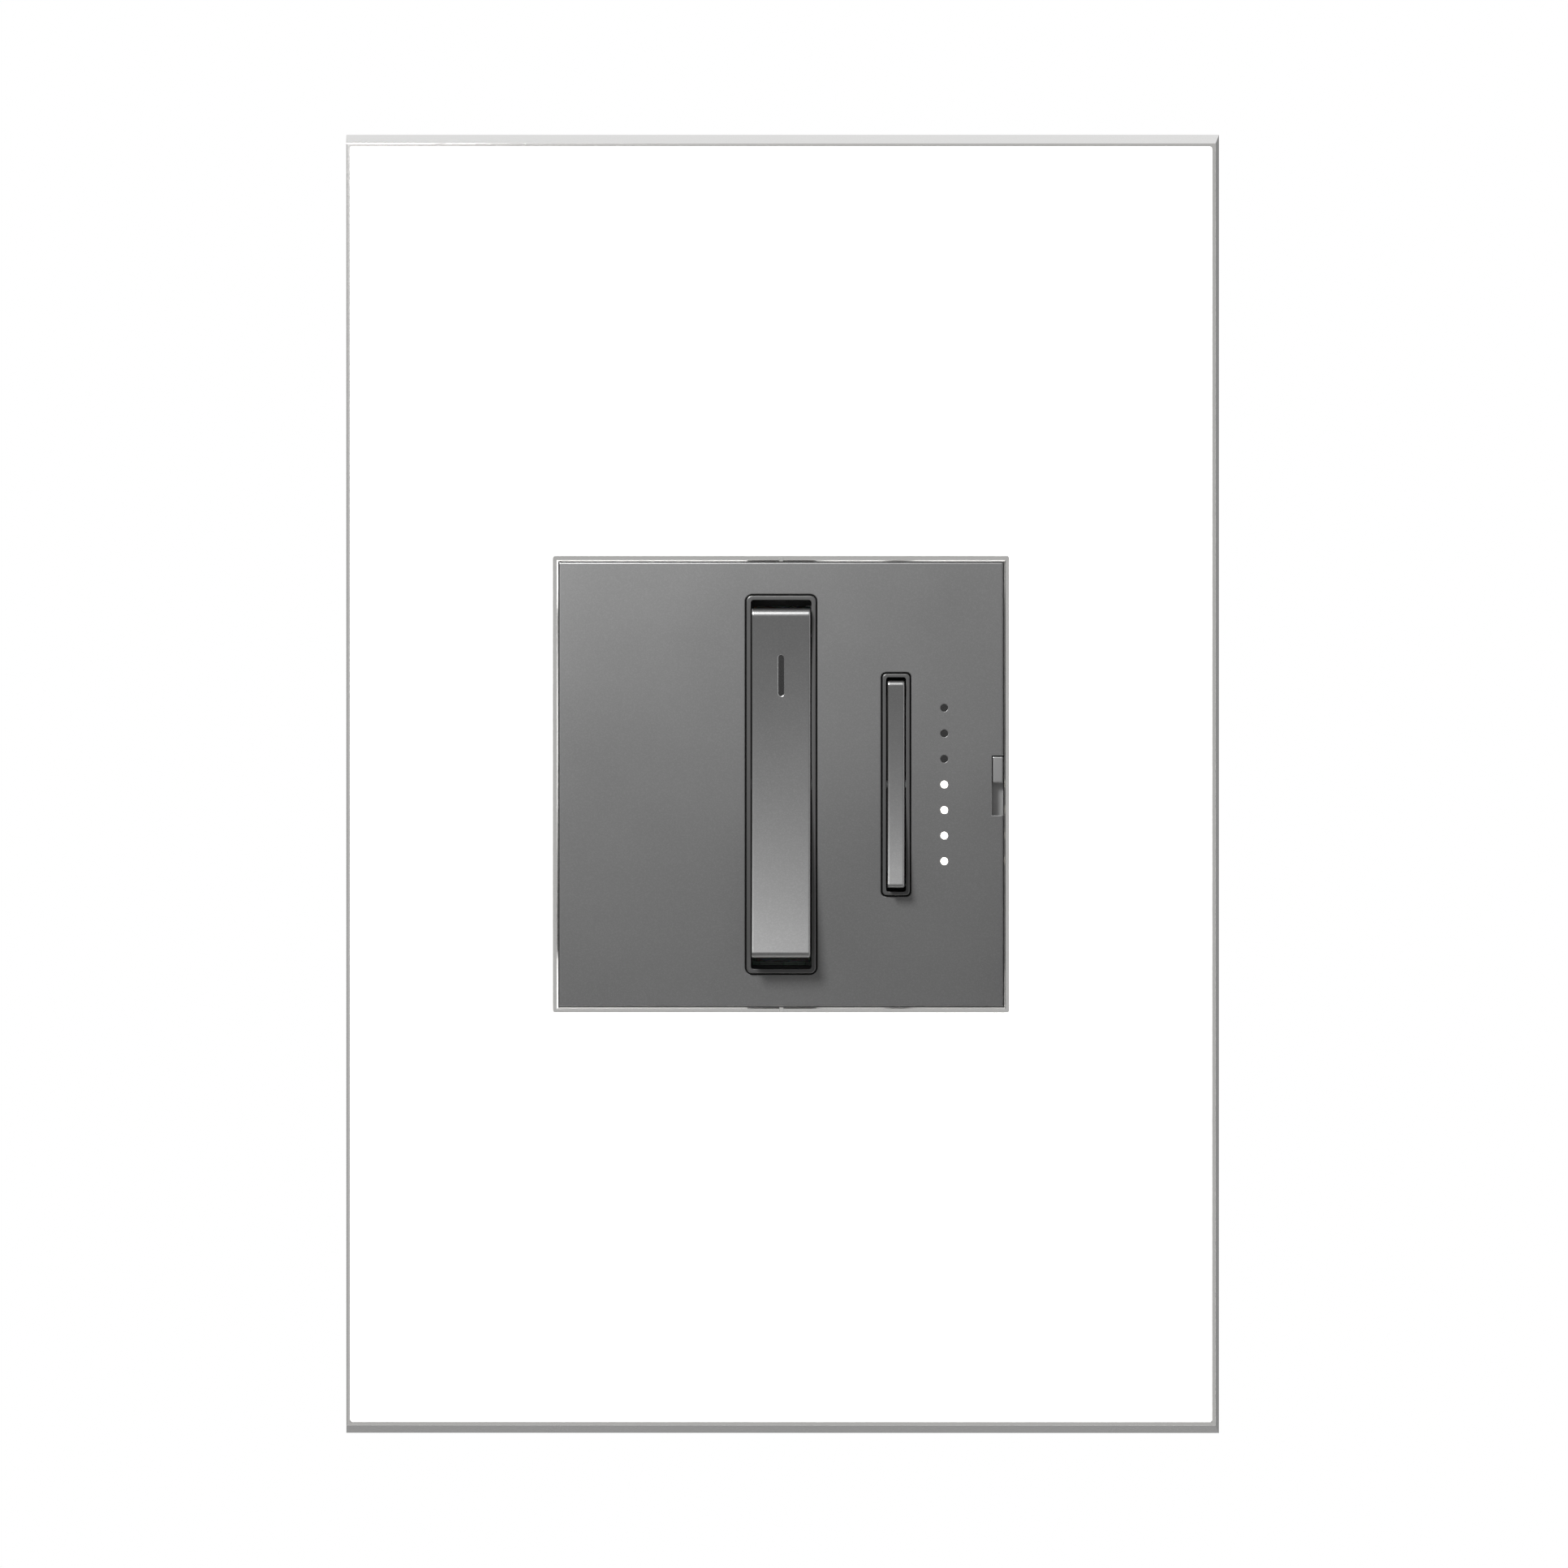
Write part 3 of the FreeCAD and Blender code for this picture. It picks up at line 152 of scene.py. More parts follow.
# ---------------------------------------------------------------- floor
# A plain pale board, well below the plate.
def new_material(name, **settings):
    """A material whose shader has these constant settings, which are named as its sockets."""
    material = bpy.data.materials.new(name)
    material.use_nodes = True
    material.node_tree.nodes.clear()
    shader = add(material.node_tree, "ShaderNodeBsdfPrincipled")
    for key, value in settings.items():
        shader.inputs[key.replace("_", " ")].default_value = value
    add(material.node_tree, "ShaderNodeOutputMaterial", {"Surface": shader})
    return material, material.node_tree, shader


floor_half = 0.45
floor_level = -0.32
floor_mesh = bpy.data.meshes.new("floor")
corners = [(x * floor_half, y * floor_half, floor_level) for x, y in ((-1, -1), (1, -1), (1, 1), (-1, 1))]
floor_mesh.from_pydata(corners, [], [(0, 1, 2, 3)])
floor = bpy.data.objects.new("floor", floor_mesh)
bpy.context.scene.collection.objects.link(floor)

# Uncoated board is matt, with a slightly fibrous tone. Its fibres are a few hundredths of a millimetre wide,
# and are drawn coarser so that they show.
fibre_mm = 1.1
board, tree, shader = new_material("uncoated_board", Roughness=0.85)
coords = add(tree, "ShaderNodeTexCoord").outputs["Object"]
fibres = add(tree, "ShaderNodeTexNoise", {"Vector": coords, "Scale": 1 / (fibre_mm * MM)})
tone = add(tree, "ShaderNodeMix", {0: fibres, 6: linear("#ededec"), 7: linear("#f5f5f4")}, data_type="RGBA")
tree.links.new(tone.outputs[2], shader.inputs["Base Color"])
floor_mesh.materials.append(board)


# ---------------------------------------------------------------- mounting frame
# The strap that the dimmer hangs on in the wall box. It is steel strip, pressed to a shallow pan with a
# turned-up rim, and then zinc plated with a clear passivation.
def worn_edges(tree, width_mm):
    """A rounded normal for sharp edges, and a mask that is 1 on the edge and 0 away from it."""
    flat_cosine = 0.995
    edge_cosine = 0.80
    rounded = add(tree, "ShaderNodeBevel", {"Radius": width_mm * MM}, samples=6)
    normal = add(tree, "ShaderNodeNewGeometry").outputs["Normal"]
    turned = add(tree, "ShaderNodeVectorMath", [rounded, normal], operation="DOT_PRODUCT")
    mask = add(tree, "ShaderNodeMapRange", [turned.outputs["Value"], flat_cosine, edge_cosine, 0.0, 1.0])
    return rounded, mask


def plated(name, colour, cloud, edge, roughness, crystal_mm=0.0, scratch_mm=0.0, edge_mm=0.12, uneven=0.08,
           relief_mm=0.004):
    """Plated or bare metal: cloudy in colour, with crystals or drawn lines in its gloss and bright edges.

    Real crystals and lines are a few hundredths of a millimetre wide, and are drawn coarser so that they
    show.
    """
    cloud_mm = 9
    line_stretch = 0.03
    material, tree, shader = new_material(name, Metallic=1.0)
    coords = add(tree, "ShaderNodeTexCoord").outputs["Object"]
    clouds = add(tree, "ShaderNodeTexNoise",
                 {"Vector": coords, "Scale": 1 / (cloud_mm * MM), "Detail": 4.0})
    if scratch_mm:
        drawn = add(tree, "ShaderNodeMapping", {"Vector": coords, "Scale": (1.0, 1.0, line_stretch)})
        grain = add(tree, "ShaderNodeTexNoise", {"Vector": drawn, "Scale": 1 / (scratch_mm * MM)})
    else:
        grain = add(tree, "ShaderNodeTexVoronoi", {"Vector": coords, "Scale": 1 / (crystal_mm * MM)})
    rounded, edges = worn_edges(tree, edge_mm)
    base = add(tree, "ShaderNodeMix", {0: clouds, 6: linear(colour), 7: linear(cloud)}, data_type="RGBA")
    worn = add(tree, "ShaderNodeMix", {0: edges, 6: base.outputs[2], 7: linear(edge)}, data_type="RGBA")
    tree.links.new(worn.outputs[2], shader.inputs["Base Color"])
    gloss = add(tree, "ShaderNodeMapRange", [grain, 0.0, 1.0, roughness - uneven, roughness + uneven])
    tree.links.new(gloss.outputs[0], shader.inputs["Roughness"])
    bump = add(tree, "ShaderNodeBump",
               {"Strength": 0.6, "Distance": relief_mm * MM, "Height": grain, "Normal": rounded})
    tree.links.new(bump.outputs[0], shader.inputs["Normal"])
    return material


def dress(material, *names):
    """Gives CAD nodes their material."""
    for name in names:
        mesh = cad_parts[name].data
        mesh.materials.clear()
        mesh.materials.append(material)


# A cool, cloudy sheen with crystals in it, brighter where the press has burnished the edges.
zinc_steel = plated("zinc_plated_pressed_steel", "#aab0b6", "#bfc0c4", "#d3d7da", roughness=0.34,
                    crystal_mm=0.55)
dress(zinc_steel, "mounting_frame")


# ---------------------------------------------------------------- box screws
# Two 6-32 machine screws of zinc-plated steel with slotted oval heads and rolled threads. They fix the frame
# to the wall box, and nylon inserts in the frame's slots hold them by their necks.
def screw_tree():
    """Geometry nodes that put a machine screw on every point, its head towards the point's axis."""
    tree = bpy.data.node_groups.new("machine_screw", "GeometryNodeTree")
    tree.interface.new_socket("Geometry", in_out="INPUT", socket_type="NodeSocketGeometry")
    for label in ("Head Radius", "Head Height", "Flange Radius", "Flange Height", "Shank Radius",
                  "Shank Length", "Pitch", "Thread Depth", "Neck Radius", "Neck Length", "Recess Length",
                  "Recess Across", "Recess Width", "Recess Depth"):
        tree.interface.new_socket(label, in_out="INPUT", socket_type="NodeSocketFloat")
    tree.interface.new_socket("Head Sides", in_out="INPUT", socket_type="NodeSocketInt")
    tree.interface.new_socket("Material", in_out="INPUT", socket_type="NodeSocketMaterial")
    tree.interface.new_socket("Geometry", in_out="OUTPUT", socket_type="NodeSocketGeometry")
    given = add(tree, "NodeGroupInput").outputs

    # the shank starts as a flat sheet: its width goes once round, and its length goes down the screw
    rows_a_turn = 10.0
    turns = add(tree, "ShaderNodeMath", [given["Shank Length"], given["Pitch"]], operation="DIVIDE")
    rows = add(tree, "ShaderNodeMath", [turns, rows_a_turn], operation="MULTIPLY")
    sheet = add(tree, "GeometryNodeMeshGrid",
                {"Size X": 1.0, "Size Y": 1.0, "Vertices X": 25, "Vertices Y": rows})
    place = add(tree, "ShaderNodeSeparateXYZ", [add(tree, "GeometryNodeInputPosition")]).outputs
    around = add(tree, "ShaderNodeMath", [place[0], 0.5], operation="ADD")
    along = add(tree, "ShaderNodeMath", [place[1], 0.5], operation="ADD")
    depth = add(tree, "ShaderNodeMath", [along, given["Shank Length"]], operation="MULTIPLY")

    # the thread: how far a point is from the ridge that winds down past it, from 0 to 1
    passed = add(tree, "ShaderNodeMath", [depth, given["Pitch"]], operation="DIVIDE")
    wound = add(tree, "ShaderNodeMath", [passed, around], operation="SUBTRACT")
    phase = add(tree, "ShaderNodeMath", [wound], operation="FRACT")
    centred = add(tree, "ShaderNodeMath", [phase, 0.5], operation="SUBTRACT")
    apart = add(tree, "ShaderNodeMath", [centred], operation="ABSOLUTE")
    ridge = add(tree, "ShaderNodeMath", [apart, 2.0], operation="MULTIPLY")
    rise = add(tree, "ShaderNodeMapRange", [ridge, 0.12, 0.82], interpolation_type="SMOOTHSTEP")
    root = add(tree, "ShaderNodeMath", [given["Shank Radius"], given["Thread Depth"]], operation="SUBTRACT")
    raised = add(tree, "ShaderNodeMath", [rise, given["Thread Depth"]], operation="MULTIPLY")
    thread = add(tree, "ShaderNodeMath", [root, raised], operation="ADD")

    # it runs out to a plain neck under the head, narrows over its last turn, and both ends close
    narrowed = 0.66
    hair = 0.0001
    neck_end = add(tree, "ShaderNodeMath", [given["Neck Length"], given["Pitch"]], operation="ADD")
    run_out = add(tree, "ShaderNodeMapRange", [depth, given["Neck Length"], neck_end, 0.0, 1.0])
    full = add(tree, "ShaderNodeMix", {0: run_out, 2: given["Neck Radius"], 3: thread})
    last_turn = add(tree, "ShaderNodeMath", [given["Shank Length"], given["Pitch"]], operation="SUBTRACT")
    taper = add(tree, "ShaderNodeMapRange", [depth, last_turn, given["Shank Length"], 1.0, narrowed])
    begun = add(tree, "ShaderNodeMath", [along, hair], operation="GREATER_THAN")
    unended = add(tree, "ShaderNodeMath", [along, 1.0 - hair], operation="LESS_THAN")
    open_part = add(tree, "ShaderNodeMath", [begun, unended], operation="MULTIPLY")
    tapered = add(tree, "ShaderNodeMath", [full, taper], operation="MULTIPLY")
    radius = add(tree, "ShaderNodeMath", [tapered, open_part], operation="MULTIPLY")

    # and the sheet is rolled up on that radius, with its top a little way inside the head
    sunk = 0.15
    angle = add(tree, "ShaderNodeMath", [around, -2 * math.pi], operation="MULTIPLY")
    cosine = add(tree, "ShaderNodeMath", [angle], operation="COSINE")
    sine = add(tree, "ShaderNodeMath", [angle], operation="SINE")
    inside = add(tree, "ShaderNodeMath", [given["Head Height"], sunk], operation="MULTIPLY")
    rolled = add(tree, "ShaderNodeCombineXYZ", [
        add(tree, "ShaderNodeMath", [radius, cosine], operation="MULTIPLY"),
        add(tree, "ShaderNodeMath", [radius, sine], operation="MULTIPLY"),
        add(tree, "ShaderNodeMath", [inside, depth], operation="SUBTRACT")])
    tube = add(tree, "GeometryNodeSetPosition", {"Geometry": sheet, "Position": rolled})
    shank = add(tree, "GeometryNodeMergeByDistance", {"Geometry": tube, "Distance": 1e-6})

    def disc(wide, thick, base, dome, sides):
        """A disc on a base height, whose top is domed and whose rim draws in."""
        domed_from = 0.3
        blank = add(tree, "GeometryNodeMeshCylinder", {"Vertices": sides, "Side Segments": 4,
                                                       "Fill Segments": 6, "Radius": wide, "Depth": thick})
        spot = add(tree, "ShaderNodeSeparateXYZ", [add(tree, "GeometryNodeInputPosition")]).outputs
        level = add(tree, "ShaderNodeMath", [spot[2], thick], operation="DIVIDE")
        height = add(tree, "ShaderNodeMath", [level, 0.5], operation="ADD")
        across = add(tree, "ShaderNodeMath", [spot[0], 2.0], operation="POWER")
        deep = add(tree, "ShaderNodeMath", [spot[1], 2.0], operation="POWER")
        square = add(tree, "ShaderNodeMath", [across, deep], operation="ADD")
        out = add(tree, "ShaderNodeMath", [square], operation="SQRT")
        reach = add(tree, "ShaderNodeMath", [out, wide], operation="DIVIDE")
        fall = add(tree, "ShaderNodeMath", [reach, 3.0], operation="POWER")
        fallen = add(tree, "ShaderNodeMath", [fall, dome], operation="MULTIPLY")
        upper = add(tree, "ShaderNodeMath", [height, domed_from], operation="GREATER_THAN")
        upper_thick = add(tree, "ShaderNodeMath", [upper, thick], operation="MULTIPLY")
        lower = add(tree, "ShaderNodeMath", [fallen, upper_thick], operation="MULTIPLY")
        steep = add(tree, "ShaderNodeMath", [height, 3.0], operation="POWER")
        drawn_in = add(tree, "ShaderNodeMath", [steep, dome * 0.3], operation="MULTIPLY")
        draw = add(tree, "ShaderNodeMath", [1.0, drawn_in], operation="SUBTRACT")
        plain = add(tree, "ShaderNodeMath", [height, thick], operation="MULTIPLY")
        sag = add(tree, "ShaderNodeMath", [lower, height], operation="MULTIPLY")
        domed = add(tree, "ShaderNodeMath", [plain, sag], operation="SUBTRACT")
        shaped = add(tree, "ShaderNodeCombineXYZ", [
            add(tree, "ShaderNodeMath", [spot[0], draw], operation="MULTIPLY"),
            add(tree, "ShaderNodeMath", [spot[1], draw], operation="MULTIPLY"),
            add(tree, "ShaderNodeMath", [domed, base], operation="ADD")])
        return add(tree, "GeometryNodeSetPosition", {"Geometry": blank, "Position": shaped})

    head = disc(given["Head Radius"], given["Head Height"], given["Flange Height"], 0.32, given["Head Sides"])
    lapped = add(tree, "ShaderNodeMath", [given["Flange Height"], 0.02 * MM], operation="ADD")
    flange = disc(given["Flange Radius"], lapped, 0.0, 0.05, 48)
    body = add(tree, "GeometryNodeMeshBoolean", operation="UNION", solver="EXACT")
    for part in (shank, head, flange):
        tree.links.new(part.outputs[0], body.inputs["Mesh 2"])

    # two crossed bars cut the recess, and one that is narrower than the other leaves a plain slot
    crest = add(tree, "ShaderNodeMath", [given["Head Height"], given["Flange Height"]], operation="ADD")
    lift = add(tree, "ShaderNodeCombineXYZ", [0.0, 0.0, crest])
    twice_deep = add(tree, "ShaderNodeMath", [given["Recess Depth"], 2.0], operation="MULTIPLY")
    recess = add(tree, "GeometryNodeMeshBoolean", {"Mesh 1": body}, operation="DIFFERENCE", solver="EXACT")
    for long_way, short_way, shrink in (("Recess Length", "Recess Width", 1.0),
                                        ("Recess Width", "Recess Across", 0.99)):
        size = add(tree, "ShaderNodeCombineXYZ", [
            add(tree, "ShaderNodeMath", [given[long_way], shrink], operation="MULTIPLY"),
            given[short_way],
            add(tree, "ShaderNodeMath", [twice_deep, shrink], operation="MULTIPLY")])
        bar = add(tree, "GeometryNodeMeshCube", {"Size": size})
        lifted = add(tree, "GeometryNodeTransform", {"Geometry": bar, "Translation": lift})
        tree.links.new(lifted.outputs[0], recess.inputs["Mesh 2"])

    # smooth but for sharp corners, then one for each point, turned to its axis and by its spin
    crisp_from = math.radians(40)
    smooth = add(tree, "GeometryNodeSetShadeSmooth", {"Geometry": recess})
    corner = add(tree, "ShaderNodeMath", [add(tree, "GeometryNodeInputMeshEdgeAngle"), crisp_from],
                 operation="GREATER_THAN")
    crisp = add(tree, "GeometryNodeSetShadeSmooth",
                {"Geometry": smooth, "Selection": corner, "Shade Smooth": False}, domain="EDGE")
    axis = add(tree, "GeometryNodeInputNamedAttribute", {"Name": "axis"}, data_type="FLOAT_VECTOR")
    spin = add(tree, "GeometryNodeInputNamedAttribute", {"Name": "spin"}, data_type="FLOAT")
    aimed = add(tree, "FunctionNodeAlignRotationToVector", {"Vector": axis}, axis="Z")
    twist = add(tree, "FunctionNodeAxisAngleToRotation", {"Axis": (0, 0, 1), "Angle": spin})
    turned = add(tree, "FunctionNodeRotateRotation", [aimed, twist], rotation_space="LOCAL")
    set_down = add(tree, "GeometryNodeInstanceOnPoints",
                   {"Points": given["Geometry"], "Instance": crisp, "Rotation": turned})
    real = add(tree, "GeometryNodeRealizeInstances", [set_down])
    finish = add(tree, "GeometryNodeSetMaterial", {"Geometry": real, "Material": given["Material"]})
    add(tree, "NodeGroupOutput", [finish])
    return tree


def screws(name, seats, axis, spins, material, **sizes):
    """Screws with their heads on these seats, as one plain mesh. Sizes are named as the tree's inputs."""
    mesh = bpy.data.meshes.new(name)
    mesh.from_pydata(seats, [], [])
    axes = mesh.attributes.new("axis", "FLOAT_VECTOR", "POINT")
    axes.data.foreach_set("vector", list(axis) * len(seats))
    mesh.attributes.new("spin", "FLOAT", "POINT").data.foreach_set("value", spins)
    made = bpy.data.objects.new(name, mesh)
    bpy.context.scene.collection.objects.link(made)
    modifier = made.modifiers.new("screws", "NODES")
    modifier.node_group = machine_screw
    values = {key.replace("_", " ").title(): value for key, value in sizes.items()}
    values["Material"] = material
    for item in machine_screw.interface.items_tree:
        if item.in_out == "INPUT" and item.name in values:
            modifier[item.identifier] = values[item.name]
    shaped = made.evaluated_get(bpy.context.evaluated_depsgraph_get())
    grown = bpy.data.meshes.new_from_object(shaped)
    made.modifiers.remove(modifier)
    made.data = grown
    grown.name = name
    grown.materials.clear()
    grown.materials.append(material)
    grown.polygons.foreach_set("material_index", [0] * len(grown.polygons))
    return made


machine_screw = screw_tree()
thread_6_32 = {"shank_radius": 1.72 * MM, "pitch": 0.794 * MM, "thread_depth": 0.36 * MM}
plain_slot = {"recess_length": 9.0 * MM, "recess_across": 0.3 * MM, "recess_width": 0.9 * MM,
              "recess_depth": 1.1 * MM}
box_head_radius = 3.6 * MM
box_head_height = 2.0 * MM
head_low, head_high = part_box("box_screws")
box_screw_z = (head_high.z - head_low.z) / 2 - box_head_radius
box_seat = head_low.y + box_head_height

# Rolled and plated: brighter and smoother than the pressed frame, with fine crystals in its gloss.
screw_silver = plated("zinc_plated_rolled_steel", "#a9adb1", "#b9bcc0", "#d5d7d9", roughness=0.28,
                      crystal_mm=0.35, edge_mm=0.08)
box_screws = screws("box_screw_pair", [(0, box_seat, z) for z in (-box_screw_z, box_screw_z)], (0, -1, 0),
                    [0.35, 1.1], screw_silver, head_radius=box_head_radius, head_height=box_head_height,
                    flange_radius=3.0 * MM, flange_height=0.05 * MM,
                    shank_length=head_high.y - box_seat + 0.2 * MM, neck_radius=1.38 * MM,
                    neck_length=1.7 * MM, head_sides=48, **thread_6_32, **plain_slot)
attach(box_screws, "base")
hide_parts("box_screws")


# ---------------------------------------------------------------- screw retainers
# Two inserts in the frame's slots that hold the box screws by their necks, so that they don't drop out. They
# are moulded in natural nylon and pushed in.
def moulded(name, colour, tint, edge, roughness, grain_mm=0.16, depth_mm=0.004, edge_mm=0.10, flow_mm=14.0,
            fleck="", uneven=0.05, **settings):
    """Moulded or cast plastic: flow marks in tone and gloss, a fine grain, rubbed edges, maybe flakes.

    Spark-eroded grain is about 0.05 mm wide and flakes are about 0.03 mm, and both are drawn coarser so that
    they show.
    """
    fleck_mm = 0.09
    bare_cells = 0.45
    fleck_share = 0.4
    rubbed_gloss = 0.7
    material, tree, shader = new_material(name, **settings)
    coords = add(tree, "ShaderNodeTexCoord").outputs["Object"]
    flow = add(tree, "ShaderNodeTexNoise", {"Vector": coords, "Scale": 1 / (flow_mm * MM), "Detail": 3.0})
    grain = add(tree, "ShaderNodeTexNoise", {"Vector": coords, "Scale": 1 / (grain_mm * MM), "Detail": 2.0})
    rounded, edges = worn_edges(tree, edge_mm)
    tone = add(tree, "ShaderNodeMix", {0: flow, 6: linear(colour), 7: linear(tint)}, data_type="RGBA")
    if fleck:
        cells = add(tree, "ShaderNodeTexVoronoi", {"Vector": coords, "Scale": 1 / (fleck_mm * MM)})
        chance = add(tree, "ShaderNodeSeparateColor", [cells.outputs["Color"]])
        share = add(tree, "ShaderNodeMapRange", [chance, bare_cells, 1.0, 0.0, fleck_share])
        tone = add(tree, "ShaderNodeMix", {0: share, 6: tone.outputs[2], 7: linear(fleck)},
                   data_type="RGBA")
    rubbed = add(tree, "ShaderNodeMix", {0: edges, 6: tone.outputs[2], 7: linear(edge)}, data_type="RGBA")
    tree.links.new(rubbed.outputs[2], shader.inputs["Base Color"])
    gloss = add(tree, "ShaderNodeMapRange", [flow, 0.3, 0.7, roughness - uneven, roughness + uneven])
    polish = add(tree, "ShaderNodeMix", {0: edges, 2: gloss, 3: roughness * rubbed_gloss})
    tree.links.new(polish.outputs[0], shader.inputs["Roughness"])
    bump = add(tree, "ShaderNodeBump",
               {"Strength": 0.7, "Distance": depth_mm * MM, "Height": grain, "Normal": rounded})
    tree.links.new(bump.outputs[0], shader.inputs["Normal"])
    return material


# Waxy, and it lets a little light in, so that its thin rims look soft.
nylon = moulded("natural_moulded_nylon", "#e6e2d6", "#dedacc", "#f0ede4", roughness=0.42, IOR=1.53,
                Subsurface_Weight=0.2, Subsurface_Scale=0.8 * MM)
dress(nylon, "screw_retainers")


# ---------------------------------------------------------------- heat sink and its screws
# A stamped aluminium plate with a grounding tab. Four self-tapping screws pull it, the boards and the bezel
# together, and a green hexagon screw in the tab takes the grounding wire.
def cross_screws(name, replaced, seats, spins, head_mm, height_mm, shank_mm, length_mm, pitch_mm, recess_mm):
    """Crosshead screws with plain round heads that look backwards, in place of a CAD node of the base."""
    made = screws(name, seats, (0, 1, 0), spins, screw_silver, head_radius=head_mm * MM,
                  head_height=(height_mm - 0.06) * MM, flange_radius=head_mm * 0.9 * MM,
                  flange_height=0.05 * MM, shank_radius=shank_mm * MM, shank_length=length_mm * MM,
                  pitch=pitch_mm * MM, thread_depth=pitch_mm * 0.4 * MM, neck_radius=shank_mm * 0.9 * MM,
                  neck_length=0.3 * MM, recess_length=recess_mm * MM, recess_across=recess_mm * MM,
                  recess_width=recess_mm * 0.2 * MM, recess_depth=height_mm * 0.6 * MM, head_sides=48)
    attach(made, "base")
    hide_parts(replaced)


# Rolled sheet: fine lines run up it and stretch its highlights, and the stamped edges are bright.
aluminium = plated("stamped_aluminium_sheet", "#b9bbbd", "#c4c6c8", "#dcdddd", roughness=0.36,
                   scratch_mm=0.16, edge_mm=0.10)
dress(aluminium, "heat_sink")

post = 17.8 * MM
sink_back = 2.0 * MM
cross_screws("bezel_screw_set", "bezel_screws",
             [(x, sink_back, z) for x in (-post, post) for z in (-post, post)], [0.2, 0.9, 1.3, 0.5],
             head_mm=1.9, height_mm=1.4, shank_mm=0.98, length_mm=7.8, pitch_mm=0.6, recess_mm=1.9)

# Green dye over zinc keeps a metal's sheen, and has worn off the corners of the hexagon.
green_zinc = plated("green_dyed_zinc_steel", "#1f6b3c", "#27784a", "#7fae8d", roughness=0.32,
                    crystal_mm=0.35, edge_mm=0.10)
tab_seat = (11 * MM, 5.2 * MM, -34.6 * MM)
ground_screw = screws("ground_hex_screw", [tab_seat], (0, 0, -1), [0.4], green_zinc, head_radius=3.4 * MM,
                      head_height=1.97 * MM, flange_radius=3.88 * MM, flange_height=0.6 * MM,
                      shank_length=2.2 * MM, neck_radius=1.6 * MM, neck_length=0.2 * MM, head_sides=6,
                      **thread_6_32, **plain_slot)
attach(ground_screw, "base")
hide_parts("ground_screw")


# ---------------------------------------------------------------- power transistors
# Two switching transistors in moulded black epoxy. Each is screwed down to the heat sink on a pad of
# heat-conducting rubber.
# Transfer-moulded epoxy is near black with a dull, even gloss.
epoxy = moulded("transfer_moulded_black_epoxy", "#141415", "#1c1c1d", "#39393a", roughness=0.52,
                grain_mm=0.08, depth_mm=0.006, flow_mm=5.0, IOR=1.55)
dress(epoxy, "power_transistors", "microcontroller")
# Mineral-filled silicone is a chalky pink with hardly any gloss.
pad = moulded("filled_silicone_rubber_sheet", "#c98f8d", "#bf8683", "#d39e9b", roughness=0.75, grain_mm=0.10,
              depth_mm=0.010, flow_mm=3.0, IOR=1.41)
dress(pad, "thermal_pads")
cross_screws("transistor_screw_pair", "transistor_screws",
             [(x * MM, 3.6 * MM, 12.4 * MM) for x in (-5.6, 5.6)], [0.6, 1.2],
             head_mm=2.6, height_mm=1.7, shank_mm=1.47, length_mm=3.6, pitch_mm=0.6, recess_mm=2.6)


